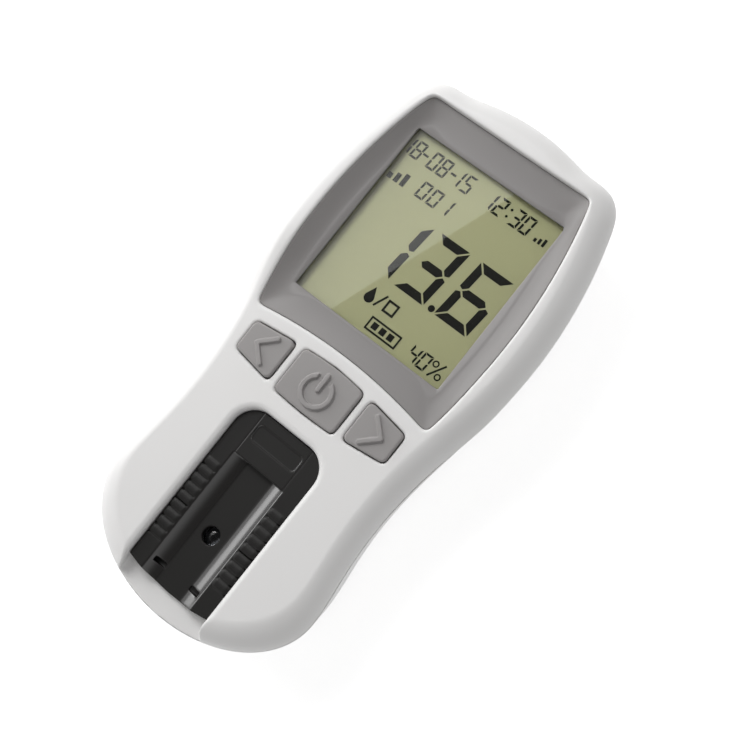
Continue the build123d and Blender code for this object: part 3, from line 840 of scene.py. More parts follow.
def dress(piece: bpy.types.Object, material: bpy.types.Material) -> None:
    """Give a piece one material."""
    piece.data.materials.clear()
    piece.data.materials.append(material)


# Sub-assemblies


@dataclass(frozen=True)
class Housing:
    """Form of the two-part housing, and the white front shell with its rolled rims.

    Attributes:
        bulge: Half width and station of the widest place of the bay end.
        flank: The same a little above the bulge.
        waist: The same at the narrowest place.
        neck: The same beside the keys.
        hip: The same at the lower end of the dish.
        screen: The same at the widest place of the display end.
        display_end: Half width and distance from the display end of the outline's upper points.
        side_points: Points of the outline from the bulge to the tip of the display end.
        foot_points: Points of the outline from the tip of the bay end to the bulge.
        shoulder: How far the face stands in from the widest line beside the bay.
        rim_shoulder: The same beside the display, where the crest of the rim is narrow.
        rise_power: Power that bends the shoulder's way up.
        run_power: Power that bends its way in.
        draft: How much the wall leans in per millimetre of height under the widest line.
        ramp: Stations between which the rim rises from the level of the face.
        levels: Rings of the shoulder, from just over the widest line to the crest.
        first_level: How high the first of them lies, as a share of the quarter turn.
        crest_scales: Sizes of the rings that close the face, as shares of the crest.
        rim_steps: Rings of a hole's rolled rim.
        overshoot: How far a cutter goes on widening over the face, as a share of its flare.
        room_half: Half width of the room under the face.
        room: Stations between which that room lies.
        room_height: Lowest and highest point of that room.
        grain: Size of the faces of the moulded skin.
    """

    bulge: Pair = (27.5, 19.0)
    flank: Pair = (26.5, 30.0)
    waist: Pair = (25.9, 40.4)
    neck: Pair = (27.9, 59.4)
    hip: Pair = (30.3, 70.2)
    screen: Pair = (31.5, 82.5)
    display_end: tuple[Pair, ...] = (
        (29.3, 18.9),
        (27.1, 10.5),
        (24.7, 5.1),
        (22.1, 2.95),
        (19.1, 2.2),
        (15.8, 2.0),
        (10.4, 1.05),
        (5.2, 0.25),
    )
    side_points: int = 260
    foot_points: int = 70
    shoulder: float = 5.2
    rim_shoulder: float = 4.4
    rise_power: float = 1.5
    run_power: float = 1.7
    draft: float = 0.27
    ramp: Pair = (60.4, 80.4)
    levels: int = 22
    first_level: float = 0.04
    crest_scales: tuple[float, ...] = (0.85, 0.7, 0.55, 0.4, 0.25, 0.1)
    rim_steps: int = 6
    overshoot: float = 0.4
    room_half: float = 23.6
    room: Pair = (48.6, 113.0)
    room_height: Pair = (16.0, 21.0)
    grain: float = 0.3

    def outline(self) -> Loop:
        """Widest outline of the housing.

        Returns:
            Its points, anticlockwise from the tip of the bay end.
        """
        points = [self.bulge, self.flank, self.waist, self.neck, self.hip, self.screen]
        points += [(half, BODY_LENGTH - from_end) for half, from_end in self.display_end]
        points.append((0.0, BODY_LENGTH))
        right = cubic_through(points, self.side_points)
        angles = np.linspace(-math.pi / 2, 0, self.foot_points, endpoint=False)
        foot = np.multiply(self.bulge, np.stack([np.cos(angles), 1 + np.sin(angles)], axis=1))
        side = np.vstack([foot, right[:-1]])
        mirrored = np.vstack([right[-1:], side[1:][::-1] * (-1, 1)])
        loop = np.vstack([side, mirrored])
        return np.column_stack([loop[:, 0], y_of(loop[:, 1])])

    def lift(self, y: np.ndarray) -> np.ndarray:
        """How far the rim stands over the face at a Y coordinate."""
        return RIM_LIFT * smooth_step(y, y_of(self.ramp[0]), y_of(self.ramp[1]))

    def face(self, y: np.ndarray) -> np.ndarray:
        """Height of the face at a Y coordinate."""
        return FACE_HEIGHT + self.lift(y)

    def drawn_in(self, inset: np.ndarray) -> Loop:
        """The outline drawn in towards the middle of the housing.

        Args:
            inset: How far each point is drawn in, measured at the widest places.

        Returns:
            The smaller loop.
        """
        base = self.outline()
        across = 1 - inset / self.screen[0]
        along = 1 - inset / (BODY_LENGTH / 2)
        return np.column_stack([base[:, 0] * across, base[:, 1] * along])

    def form(self) -> bpy.types.Object:
        """Closed outer form of the front shell.

        Returns:
            The piece, still without openings.
        """
        base = self.outline()
        lift = self.lift(base[:, 1])
        run = self.shoulder + (self.rim_shoulder - self.shoulder) * lift / RIM_LIFT
        widest = PARTING_HEIGHT + lift
        rise = FACE_HEIGHT - PARTING_HEIGHT
        rings = [at_height(self.drawn_in(self.draft * lift), PARTING_HEIGHT)]
        for level in np.sin(np.linspace(self.first_level, 1.0, self.levels) * math.pi / 2):
            inset = run * (1 - (1 - level**self.rise_power) ** (1 / self.run_power))
            rings.append(at_height(self.drawn_in(inset), widest + rise * level))
        crest = rings[-1][:, :2]
        for scale in self.crest_scales:
            inner = crest * scale
            rings.append(at_height(inner, self.face(inner[:, 1])))
        return from_rings("front_housing", rings)

    def hole(self, name: str, loop: Loop, flare: float, floor: float) -> bpy.types.Object:
        """Cutter for a hole in the face with a rolled rim.

        Args:
            name: Name of the cutter.
            loop: Outline of the hole, anticlockwise.
            flare: Radius of the rolled rim.
            floor: Height at which the hole ends.

        Returns:
            The closed cutter.
        """
        rings = [at_height(loop, floor), at_height(loop, self.face(loop[:, 1]) - flare)]
        for angle in np.linspace(0, math.pi / 2, self.rim_steps + 1)[1:]:
            wide = grown(loop, flare * (1 - math.cos(angle)))
            rings.append(at_height(wide, self.face(wide[:, 1]) - flare * (1 - math.sin(angle))))
        # over the face the cutter goes on widening, so that it leaves no thin skin behind
        wide = grown(loop, flare * (1 + self.overshoot))
        rings.append(at_height(wide, self.face(loop[:, 1]) + flare * self.overshoot))
        rings.append(at_height(wide, 2 * FACE_HEIGHT))
        return from_rings(name, rings)

    def under_face(self) -> bpy.types.Object:
        """Cutter for the room under the face, into which the dish and the wells open.

        Returns:
            The closed cutter.
        """
        low, high = self.room_height
        sides = (-self.room_half, self.room_half), (y_of(self.room[0]), y_of(self.room[1]))
        return slab("under_face", rectangle(*sides, high), (0, 0, low - high))


@dataclass(frozen=True)
class Dish:
    """The grey display dish with its coved walls round the window.

    Attributes:
        start: Station of the middle of the dish's lower edge.
        length: Length of the dish along its middle.
        top_half: Half width at the display end.
        waist_half: Half width half way.
        bottom_half: Half width at the lower corners.
        bottom_drop: How far the lower corners lie below the middle of the lower edge.
        corner: Radius of the corners.
        gap: Gap between the dish and the shell.
        side_cove: How far the cove reaches in from the sides.
        end_cove: How far it reaches in from the ends.
        least_facing: Limit for how slantwise the cove is taken to run at a corner.
        flat_rest: Width of flat floor that is left beside the window at the least.
        steepness: Power that bends the cove's wall.
        spread: Smoothing of the cove's reach and of the wall's height, in points.
        rim: Radius of the shell's rolled rim round the dish.
        edge_drop: How far the wall ends below the rim.
        top_drop: How much lower still it ends at the display end.
        broken_edge: Points of the wall's broken edge: how far in and how far down each lies.
        cove_start: How far in the cove starts.
        cove_levels: Rings of the cove.
        floor: Height of the floor round the window.
        chamfer: Width of the broken edge of the window's opening.
        seat: Height of the face on which the dish is seated.
        view: Width and length of the window's opening.
        view_start: Station of its lower edge.
        window_border: Width of the seat under which the window plate is glued.
        window_top: Height of that seat.
        count: Points round the dish.
        side_points: Points of each of its four sides, before they are spaced evenly.
    """

    start: float = 64.4
    length: float = 54.2
    top_half: float = 20.3
    waist_half: float = 25.0
    bottom_half: float = 22.7
    bottom_drop: float = 2.2
    corner: float = 1.9
    gap: float = 0.06
    side_cove: float = 4.3
    end_cove: float = 6.2
    least_facing: float = 0.55
    flat_rest: float = 0.5
    steepness: float = 1.6
    spread: Pair = (5.0, 6.0)
    rim: float = 0.5
    edge_drop: float = 0.5
    top_drop: float = 1.3
    broken_edge: tuple[Pair, ...] = ((0.0, 0.12), (0.04, 0.03), (0.12, 0.0))
    cove_start: float = 0.16
    cove_levels: int = 18
    floor: float = 22.5
    chamfer: float = 0.15
    seat: float = 20.4
    view: Pair = (38.0, 41.0)
    view_start: float = 70.4
    window_border: float = 1.6
    window_top: float = 22.0
    count: int = 480
    side_points: int = 60

    def loop(self) -> Loop:
        """Outline of the dish opening.

        Returns:
            Its points, anticlockwise.
        """
        top = y_of(self.start + self.length)
        low = y_of(self.start)
        corner = low - self.bottom_drop
        middle = (top + corner) / 2
        bows = (
            ((self.bottom_half, corner), (self.waist_half, middle), (self.top_half, top)),
            ((self.top_half, top), (0, top), (-self.top_half, top)),
            ((-self.top_half, top), (-self.waist_half, middle), (-self.bottom_half, corner)),
            ((-self.bottom_half, corner), (0, low), (self.bottom_half, corner)),
        )
        sides = [arc_through(*bow, self.side_points) for bow in bows]
        return softened(np.vstack(sides), self.count, self.corner)

    def view_loop(self, outer: Loop, border: float) -> Loop:
        """Points of the window's rectangle that face the points of the dish outline.

        Args:
            outer: Outline of the dish.
            border: How far the rectangle is drawn out.

        Returns:
            One point on the rectangle for each point of the outline.
        """
        middle = np.array([0.0, y_of(self.view_start + self.view[1] / 2)])
        half = np.array(self.view) / 2 + border
        away = outer - middle
        scale = 1 / np.max(np.abs(away) / half, axis=1)
        return middle + away * scale[:, None]

    def cove_run(self, base: Loop, opening: Loop) -> np.ndarray:
        """How far the cove reaches in along the line from each point to the window.

        Args:
            base: Outline of the dish.
            opening: The window's rectangle, point by point.

        Returns:
            The reach at each point, even round the corners.
        """
        inward = opening - base
        room = np.linalg.norm(inward, axis=1)
        tangent = tangents(base)
        normal = np.stack([-tangent[:, 1], tangent[:, 0]], axis=1)
        facing = np.clip(np.sum(normal * inward, axis=1) / room, self.least_facing, 1.0)
        along = np.abs(normal[:, 1]) ** 2
        cove = self.side_cove + (self.end_cove - self.side_cove) * along
        return smoothed(np.minimum(cove / facing, room - self.flat_rest), self.spread[0])

    def bezel(self, housing: Housing) -> bpy.types.Object:
        """The bezel as one closed ring of sections.

        Args:
            housing: The housing that the dish is let into.

        Returns:
            The piece.
        """
        base = self.loop()
        # the wall is low at the display end, where the dish lies nearly flat up to the rim
        facing_top = np.clip((grown(base, 1.0) - base)[:, 1], 0.0, 1.0) ** 2
        drop = self.edge_drop + smoothed(facing_top, self.spread[1]) * self.top_drop
        edge = housing.face(base[:, 1]) - drop
        opening = self.view_loop(base, self.chamfer)
        inward = opening - base
        inward /= np.linalg.norm(inward, axis=1)[:, None]
        foot = base + inward * self.cove_run(base, opening)[:, None]
        rings = [at_height(grown(base, -self.gap), self.seat)]
        for inset, down in self.broken_edge:
            rings.append(at_height(grown(base, -self.gap - inset), edge - down))
        start = grown(base, -self.gap - self.cove_start)
        for share in np.linspace(0.0, 1.0, self.cove_levels):
            height = self.floor + (edge - self.floor) * (1 - share) ** self.steepness
            rings.append(at_height(start * (1 - share) + foot * share, height))
        rings.append(at_height(opening, self.floor))
        view, border = (self.view_loop(base, width) for width in (0.0, self.window_border))
        rings += [at_height(view, self.floor - self.chamfer), at_height(view, self.window_top)]
        rings += [at_height(border, self.window_top), at_height(border, self.seat)]
        return from_rings("display_dish", rings, tube=True)


@dataclass(frozen=True)
class Keys:
    """The three keys and their wells.

    Attributes:
        station: Station of the middle of the row.
        gap: Gap between a key and its well.
        corner: Radius of the corners.
        flare: Radius of the rolled rim of a well.
        power_half: Half width of the middle key.
        arrow_inner: Where the outer keys start, measured from the middle.
        arrow_outer: Where they end.
        row_half: Half length of the middle key.
        foot_bow: How far its lower edge bows out.
        head_bow: How far its upper edge bows out.
        inner_half: Half length of the outer keys at their inner end.
        outer_half: The same at their outer end.
        count: Points round a well.
        top: Height of the keys' flat tops.
        mark_rise: How many times higher the marks stand than on the plain solids, so that their
            round shoulders catch the light as on the real keys.
        mark_start: Height over the top from which a point belongs to a mark.
        grain: Size of the faces of the moulded skin.
    """

    station: float = 55.8
    gap: float = 0.2
    corner: float = 1.25
    flare: float = 0.35
    power_half: float = 7.9
    arrow_inner: float = 10.1
    arrow_outer: float = 20.0
    row_half: float = 5.6
    foot_bow: float = 0.3
    head_bow: float = 0.6
    inner_half: float = 4.8
    outer_half: float = 3.45
    count: int = 160
    top: float = 23.9
    mark_rise: float = 2.5
    mark_start: float = 0.02
    grain: float = 0.11

    def wells(self, housing: Housing) -> list[bpy.types.Object]:
        """Cutters for the three wells.

        Args:
            housing: The housing that the wells are cut into.

        Returns:
            The closed cutters.
        """
        middle = y_of(self.station)
        low, high = middle - self.row_half, middle + self.row_half
        power = [
            (-self.power_half, low + self.foot_bow),
            (0.0, low),
            (self.power_half, low + self.foot_bow),
            (self.power_half, high - self.head_bow),
            (0.0, high),
            (-self.power_half, high - self.head_bow),
        ]
        arrow = [
            (self.arrow_inner, middle - self.inner_half),
            (self.arrow_outer, middle - self.outer_half),
            (self.arrow_outer, middle + self.outer_half),
            (self.arrow_inner, middle + self.inner_half),
        ]
        mirrored = [(-x, y) for x, y in reversed(arrow)]
        cutters = []
        for number, corners in enumerate((power, arrow, mirrored)):
            loop = grown(softened(np.array(corners), self.count, self.corner), self.gap)
            cutters.append(housing.hole(f"well_{number}", loop, self.flare, HOLE_FLOOR))
        return cutters

    def raise_mark(self, cap: bpy.types.Object) -> None:
        """Lift the mark on a key's top.

        Args:
            cap: The key.
        """
        for vertex in cap.data.vertices:
            over = vertex.co.z - self.top * MM
            if over > self.mark_start * MM:
                vertex.co.z += over * (self.mark_rise - 1)


@dataclass(frozen=True)
class Bay:
    """The strip bay: its rolled rim, floor and lip.

    Attributes:
        half: Half width of the bay.
        top: Station of its closed end.
        corner: Radius of its two corners.
        open_end: Station up to which the cutters reach past the open end.
        floor: Height of the floor.
        lip: Station up to which the floor slopes down to the open end.
        lip_drop: How far the floor's end lies lower.
        rim: Radius of the rolled rim.
        undercut: How far the walls stand back at their foot.
        undercut_height: Height up to which they stand back.
        undercut_end: How far from the closed end the undercut ends.
        hole: Station and radius of the hole over the optics.
        count: Points round the bay.
        corner_points: Points of a corner before they are spaced evenly.
        hole_points: Points round the hole.
        overlap: How far the cutter of the slope reaches over the floor.
    """

    half: float = 11.05
    top: float = 45.8
    corner: float = 5.5
    open_end: float = -12.0
    floor: float = 18.8
    lip: float = 5.2
    lip_drop: float = 0.7
    rim: float = 1.25
    undercut: float = 0.5
    undercut_height: float = 2.2
    undercut_end: float = 7.0
    hole: Pair = (19.4, 2.5)
    count: int = 360
    corner_points: int = 14
    hole_points: int = 48
    overlap: float = 0.01

    def cutters(self, housing: Housing) -> list[bpy.types.Object]:
        """Cutters for the bay, its undercut, the slope of the lip and the hole.

        Args:
            housing: The housing that the bay is cut into.

        Returns:
            The closed cutters.
        """
        mouth = y_of(self.open_end)
        centre = (self.half - self.corner, y_of(self.top - self.corner))
        right = arc(centre, self.corner, np.linspace(0, math.pi / 2, self.corner_points))
        loop = np.vstack([[(-self.half, mouth), (self.half, mouth)], right, right[::-1] * (-1, 1)])
        room = housing.hole("bay_room", evenly(loop, self.count), self.rim, self.floor)
        foot = self.half + self.undercut
        under = self.floor + self.undercut_height
        section = [(-foot, self.floor), (foot, self.floor), (self.half, under), (-self.half, under)]
        length = y_of(self.top - self.undercut_end) - mouth
        skirt = slab("bay_skirt", [(x, mouth, z) for x, z in section], (0, length, 0))
        # the slope runs on past the open end for as far again, and so to twice its drop
        near, far = y_of(self.lip), y_of(-self.lip)
        high, low = self.floor + self.overlap, self.floor - 2 * self.lip_drop
        corners = [(-foot, near, high), (-foot, far, high), (-foot, far, low)]
        slope = slab("lip_slope", corners, (2 * foot, 0, 0))
        station, radius = self.hole
        angles = np.linspace(0, 2 * math.pi, self.hole_points, endpoint=False)
        round_hole = arc((0.0, y_of(station)), radius, angles)
        levels = (PARTING_HEIGHT - 2, self.floor + 1)
        view = from_rings("view_hole", [at_height(round_hole, level) for level in levels])
        return [room, skirt, slope, view]


@dataclass(frozen=True)
class Cradle:
    """Finger ribs and channel slopes of the black strip tray.

    Attributes:
        first: Station of the middle of the lowest rib.
        pitch: Distance from rib to rib.
        number: Ribs on each side.
        width: Width of a rib.
        reach: Where the ribs start and end, measured from the middle of the tray.
        base: Height of the rails, into which the ribs run.
        height: How far the ribs stand up.
        roundness: Power that bends a rib's section. Smaller makes it squarer.
        sections: Sections of a rib: how far along each lies, and its size.
        arch_points: Points of such a section.
        slope: From where to where the channel's slopes run, measured from the middle.
        slope_foot: Height of the channel's floor.
        slope_rise: How far the slopes rise.
        slope_band: How far from the slope's plane a point still belongs to it.
        slope_lean: Least and greatest sideways part of a slope's normal.
        slope_up: Least upward part of a slope's normal.
        hollow: How deep the slopes are hollowed, so that a bright line runs down their middle.
        grain: Size of the faces of the moulded skin.
    """

    first: float = 13.2
    pitch: float = 2.2
    number: int = 9
    width: float = 1.75
    reach: Pair = (6.95, 10.6)
    base: float = 21.5
    height: float = 0.42
    roundness: float = 0.35
    sections: tuple[Pair, ...] = ((0.0, 0.45), (0.06, 0.8), (0.15, 1.0), (0.85, 1.0), (1.0, 0.8))
    arch_points: int = 9
    slope: Pair = (3.4, 6.75)
    slope_foot: float = 19.9
    slope_rise: float = 1.8
    slope_band: float = 0.15
    slope_lean: Pair = (0.3, 0.7)
    slope_up: float = 0.6
    hollow: float = 0.2
    grain: float = 0.14

    def rib(self, side: int, station: float) -> list[np.ndarray]:
        """Rings of one rounded rib.

        Args:
            side: -1 on the left, 1 on the right.
            station: Station of its middle.

        Returns:
            Its rings from one end to the other.
        """
        arch = np.linspace(0.0, math.pi, self.arch_points)
        half_width = 0.5 * self.width * np.cos(arch)
        height = self.height * np.sin(arch) ** self.roundness
        inner, outer = self.reach
        rings = []
        for share, size in self.sections:
            x = np.full(len(arch), side * (inner + (outer - inner) * share))
            y = y_of(station) + half_width * size
            rings.append(np.stack([x, y, self.base + height * size], axis=1))
        return rings

    def ribs(self) -> bpy.types.Object:
        """All ribs as one mesh.

        Returns:
            The piece.
        """
        stations = [self.first + i * self.pitch for i in range(self.number)]
        return from_bodies("ribs", [self.rib(side, at) for side in (-1, 1) for at in stations])

    def hollow_slopes(self, tray: bpy.types.Object) -> None:
        """Hollow the slopes of the channel.

        Args:
            tray: The moulded tray.
        """
        low, high = (edge * MM for edge in self.slope)
        for vertex in tray.data.vertices:
            share = (abs(vertex.co.x) - low) / (high - low)
            level = (self.slope_foot + self.slope_rise * share) * MM
            if 0 < share < 1 and abs(vertex.co.z - level) < self.slope_band * MM:
                vertex.co.z -= self.hollow * MM * math.sin(math.pi * share)

    def polish_slopes(self, tray: bpy.types.Object) -> None:
        """Give the slopes of the channel the tray's second material.

        Args:
            tray: The moulded tray.
        """
        low, high = (edge * MM for edge in self.slope)
        least, greatest = self.slope_lean
        for face in tray.data.polygons:
            leans = least < abs(face.normal.x) < greatest and face.normal.z > self.slope_up
            if leans and low < abs(face.center.x) < high:
                face.material_index = 1


@dataclass(frozen=True)
class Digit:
    """A digit made of seven segments.

    Attributes:
        width: Width of the digit.
        height: Height of the digit.
        stroke: Width of a segment.
        SEGMENTS: Letters of the segments that each sign needs.
        GAP: Gap between two segments, as a share of the stroke.
        LEAST_GAP: What is added to it.
        POINT: How far the point of an upright segment is cut back, as a share of half the stroke.
    """

    width: float
    height: float
    stroke: float

    SEGMENTS: ClassVar[dict[str, str]] = {
        "0": "abcdef",
        "1": "bc",
        "2": "abged",
        "3": "abgcd",
        "4": "fgbc",
        "5": "afgcd",
        "6": "afgedc",
        "8": "abcdefg",
    }
    GAP: ClassVar[float] = 0.13
    LEAST_GAP: ClassVar[float] = 0.02
    POINT: ClassVar[float] = 0.4

    def polygons(self) -> dict[str, list[Pair]]:
        """Outlines of the seven segments, with thin gaps between them.

        Returns:
            The outline of each segment, by its usual letter.
        """
        w, h, s = self.width, self.height, self.stroke
        gap = self.GAP * s + self.LEAST_GAP
        middle, half = h / 2, s / 2
        left, right = s + gap, w - s - gap
        top = [(gap, h), (w - gap, h), (right, h - s), (left, h - s)]
        upper_right = [
            (w, h - gap),
            (w, middle + self.POINT * half + gap),
            (w - half, middle + gap),
            (w - s, middle + half + gap),
            (w - s, h - left),
        ]
        bar = [(half + gap, middle), (left, middle + half), (right, middle + half)]
        bar += [(w - x, h - y) for x, y in bar]
        foot, lower_right = ([(x, h - y) for x, y in part] for part in (top, upper_right))
        rights = (upper_right, lower_right)
        upper_left, lower_left = ([(w - x, y) for x, y in part] for part in rights)
        parts = (top, *rights, foot, lower_left, upper_left, bar)
        return dict(zip("abcdefg", parts))


@dataclass
class Display:
    """Dark segments of the liquid crystal display. Only plain numbers and small marks are shown.

    The layout is in millimetres: x from the middle of the display, and stations.

    Attributes:
        film_top: Height of the film that the segments seem to lie on.
        lift: Gap between the film and the segments.
        thickness: Thickness of the thin plates that stand for the segments.
        slant: Lean of the digits in degrees.
        date_row: Station of the foot of the date and the time.
        number_row: Station of the foot of the running number.
        value_row: Station of the foot of the large value.
        foot_row: Station of the foot of the lowest row.
        shapes: Outlines of the shapes laid out so far.
        DOT_POINTS: Points of a dot.
        RING_POINTS: Points of either side of half a ring.
        DROP_POINTS: Points of the foot of a drop.
        DROP_FOOT: Angles in degrees between which the foot of a drop is round.
        DROP_POINT: Height of its point over the middle of the foot, in radii.
    """

    film_top: float = 20.6
    lift: float = 0.005
    thickness: float = 0.03
    slant: float = 5.0
    date_row: float = 105.7
    number_row: float = 99.5
    value_row: float = 82.2
    foot_row: float = 71.5
    shapes: list[Loop] = field(default_factory=list)

    DOT_POINTS: ClassVar[int] = 20
    RING_POINTS: ClassVar[int] = 14
    DROP_POINTS: ClassVar[int] = 22
    DROP_FOOT: ClassVar[Pair] = (150.0, 390.0)
    DROP_POINT: ClassVar[float] = 2.3

    def write(self, text: str, x: float, station: float, digit: Digit, pitch: float = 0.0) -> None:
        """Add a row of digits.

        Args:
            text: The digits.
            x: Left end of the row.
            station: Station of the foot of the row.
            digit: Form of the digits.
            pitch: Distance from one digit to the next.
        """
        lean = math.tan(math.radians(self.slant))
        polygons = digit.polygons()
        for place, sign in enumerate(text):
            at = x + place * pitch
            for letter in digit.SEGMENTS[sign]:
                corners = [(at + px + lean * py, y_of(station + py)) for px, py in polygons[letter]]
                self.shapes.append(np.array(corners))

    def dot(self, x: float, station: float, radius: float) -> None:
        """Add a round dot."""
        angles = np.linspace(0, 2 * math.pi, self.DOT_POINTS, endpoint=False)
        self.shapes.append(arc((x, y_of(station)), radius, angles))

    def bar(self, x: float, station: float, width: float, height: float) -> None:
        """Add an upright bar."""
        low = y_of(station)
        self.shapes.append(np.array(rectangle((x, x + width), (low, low + height), 0.0))[:, :2])

    def ring(self, x: float, station: float, radius: float, stroke: float) -> None:
        """Add a small ring made of two half rings.

        Args:
            x: Where its middle lies across the display.
            station: Station of its middle.
            radius: Outer radius.
            stroke: Width of its line.
        """
        centre = (x, y_of(station))
        for turn in (0.0, math.pi):
            angles = np.linspace(turn, turn + math.pi, self.RING_POINTS)
            outer = arc(centre, radius, angles)
            inner = arc(centre, radius - stroke, angles[::-1])
            self.shapes.append(np.vstack([outer, inner]))

    def slash(self, start: Pair, end: Pair, stroke: float) -> None:
        """Add a straight stroke.

        Args:
            start: Where it starts across the display, and at which station.
            end: Where it ends.
            stroke: Its width.
        """
        first, last = (np.array([x, y_of(station)]) for x, station in (start, end))
        side = np.array([first[1] - last[1], last[0] - first[0]])
        side *= 0.5 * stroke / np.linalg.norm(side)
        self.shapes.append(np.array([first + side, first - side, last - side, last + side]))

    def frame(self, x: float, station: float, width: float, height: float, stroke: float) -> None:
        """Add the outline of a box.

        Args:
            x: Left end of the box.
            station: Station of its foot.
            width: Its width.
            height: Its height.
            stroke: Width of its lines.
        """
        self.bar(x, station, width, stroke)
        self.bar(x, station + height - stroke, width, stroke)
        self.bar(x, station + stroke, stroke, height - 2 * stroke)
        self.bar(x + width - stroke, station + stroke, stroke, height - 2 * stroke)

    def drop(self, x: float, station: float, radius: float) -> None:
        """Add a drop: a round foot that runs up to a point.

        Args:
            x: Where its middle lies across the display.
            station: Station of the middle of its foot.
            radius: Radius of its foot.
        """
        angles = np.radians(np.linspace(*self.DROP_FOOT, self.DROP_POINTS))
        foot = arc((x, y_of(station)), radius, angles)
        point = (x, y_of(station) + self.DROP_POINT * radius)
        self.shapes.append(np.vstack([foot, [point]]))

    def date_and_time(self) -> None:
        """Lay out the date, the time and three rising bars beside it."""
        row = self.date_row
        for text, x, pitch in (("18", -20.35, 2.65), ("08", -13.3, 2.62), ("15", -7.15, 2.72)):
            self.write(text, x, row, Digit(2.15, 4.1, 0.48), pitch)
        for x in (-15.2, -7.75):
            self.bar(x, row + 1.8, 1.35, 0.48)
        for text, x in (("12", 1.35), ("30", 8.25)):
            self.write(text, x, row, Digit(2.2, 4.1, 0.5), 2.65)
        for x, over in ((7.4, 1.2), (7.55, 2.9)):
            self.dot(x, row + over, 0.3)
        for step in range(3):
            self.bar(14.9 + 1.0 * step, row + 0.2, 0.62, 0.8 + 0.45 * step)

    def number_and_value(self) -> None:
        """Lay out the running number with three rising bars, and the large value."""
        for step in range(3):
            self.bar(-18.7 + 1.7 * step, self.number_row, 1.1, 1.3 + 0.8 * step)
        self.write("001", -11.3, self.number_row, Digit(2.3, 3.9, 0.48), 3.0)
        for text, x, width in (("1", -11.9, 7.8), ("3", -2.6, 7.9), ("6", 8.1, 8.4)):
            self.write(text, x, self.value_row, Digit(width, 14.3, 1.85))
        self.dot(7.1, self.value_row + 0.6, 0.75)

    def marks(self) -> None:
        """Lay out the drop and the box, the cell gauge and the share in per cent."""
        row = self.foot_row
        self.drop(-4.9, row + 5.6, 1.15)
        self.slash((-3.2, row + 4.8), (-1.7, row + 8.1), 0.45)
        self.frame(-1.1, row + 4.9, 2.9, 2.9, 0.5)
        self.frame(-1.8, row, 8.0, 3.1, 0.42)
        for step in range(3):
            self.bar(-0.7 + 2.05 * step, row + 0.8, 1.4, 1.5)
        self.write("40", 8.95, row, Digit(2.2, 3.7, 0.45), 2.65)
        self.slash((14.9, row), (17.2, row + 3.8), 0.42)
        for x, over in ((15.1, 2.9), (17.0, 0.9)):
            self.ring(x, row + over, 0.75, 0.32)

    def segments(self) -> bpy.types.Object:
        """All the dark shapes as one thin piece.

        Returns:
            The piece.
        """
        self.date_and_time()
        self.number_and_value()
        self.marks()
        low = self.film_top + self.lift
        levels = (low, low + self.thickness)
        bodies = [[at_height(shape, level) for level in levels] for shape in self.shapes]
        return from_bodies("display_segments", bodies, smooth=False)


@dataclass(frozen=True)
class Meter:
    """The whole meter: it builds the pieces and dresses the rest of the frame.

    Attributes:
        housing: Form of the housing.
        dish: The display dish.
        keys: The keys.
        bay: The strip bay.
        cradle: The strip tray.
    """

    frame: dict
    housing: Housing = Housing()
    dish: Dish = Dish()
    keys: Keys = Keys()
    bay: Bay = Bay()
    cradle: Cradle = Cradle()

    def place(
        self, piece: bpy.types.Object, body: str, node: str | None, slot: str, finish: Finish
    ) -> None:
        """Fasten a piece to its body.

        Args:
            piece: The piece.
            body: Body that it moves with.
            node: CAD node that it stands for, if any.
            slot: Material slot of the record. Not used.
            finish: Its finish.
        """
        dress(piece, finish.material())
        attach(piece, body)
        if node:
            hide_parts(node)
        log.info("%s: %d faces", piece.name, len(piece.data.polygons))

    def front_shell(self) -> None:
        """White front shell."""
        shell = self.housing.form()
        dish, rim = self.dish.loop(), self.dish.rim
        cutters = [self.housing.hole("dish_room", dish, rim, HOLE_FLOOR)]
        cutters += self.keys.wells(self.housing)
        cutters += self.bay.cutters(self.housing)
        cutters.append(self.housing.under_face())
        carve(shell, cutters)
        mould(shell, self.housing.grain)
        self.place(shell, "housing", "front_shell", "white_shell", Finish.WHITE_FRONT)

    def bezel(self) -> None:
        """Grey dish."""
        dish = self.dish.bezel(self.housing)
        self.place(dish, "housing", "display_bezel", "grey_bezel", Finish.GREY_BEZEL)

    def key_caps(self) -> None:
        """The three keys with softly raised marks."""
        for name in ("left", "power", "right"):
            cap = copy_of_node(f"{name}_key_cap", self.frame["nodes"][f"{name}_button"])
            self.keys.raise_mark(cap)
            mould(cap, self.keys.grain)
            self.place(cap, f"{name}_key", f"{name}_button", "grey_key", Finish.GREY_KEY)

    def tray(self) -> None:
        """The black strip tray with round finger ribs on its two rails."""
        tray = copy_of_node("strip_cradle", self.frame["nodes"]["strip_tray"])
        ribs = self.cradle.ribs()
        join = bmesh.new()
        join.from_mesh(tray.data)
        join.from_mesh(ribs.data)
        join.to_mesh(tray.data)
        join.free()
        bpy.data.objects.remove(ribs)
        mould(tray, self.cradle.grain)
        self.place(tray, "tray", "strip_tray", "black_tray", Finish.BLACK_TRAY)
        tray.data.materials.append(Finish.BLACK_SLOPE.material())
        self.cradle.hollow_slopes(tray)
        self.cradle.polish_slopes(tray)

    def display(self) -> None:
        """The dark segments of the display."""
        self.place(Display().segments(), "housing", None, "lcd_film", Finish.LCD_DARK)

    def other_nodes(self) -> None:
        """Dress every CAD node that no piece stands for with its slot's own finish."""
        for row in self.frame["record"]["subparts"]:
            node = self.frame["nodes"][row["node"]]
            if not node.hide_render:
                dress(node, Finish[row["material_slot"].upper()].material())

    def build(self) -> None:
        """Build and dress everything in order."""
        self.front_shell()
        self.bezel()
        self.key_caps()
        self.tray()
        self.display()
        self.other_nodes()


# Studio


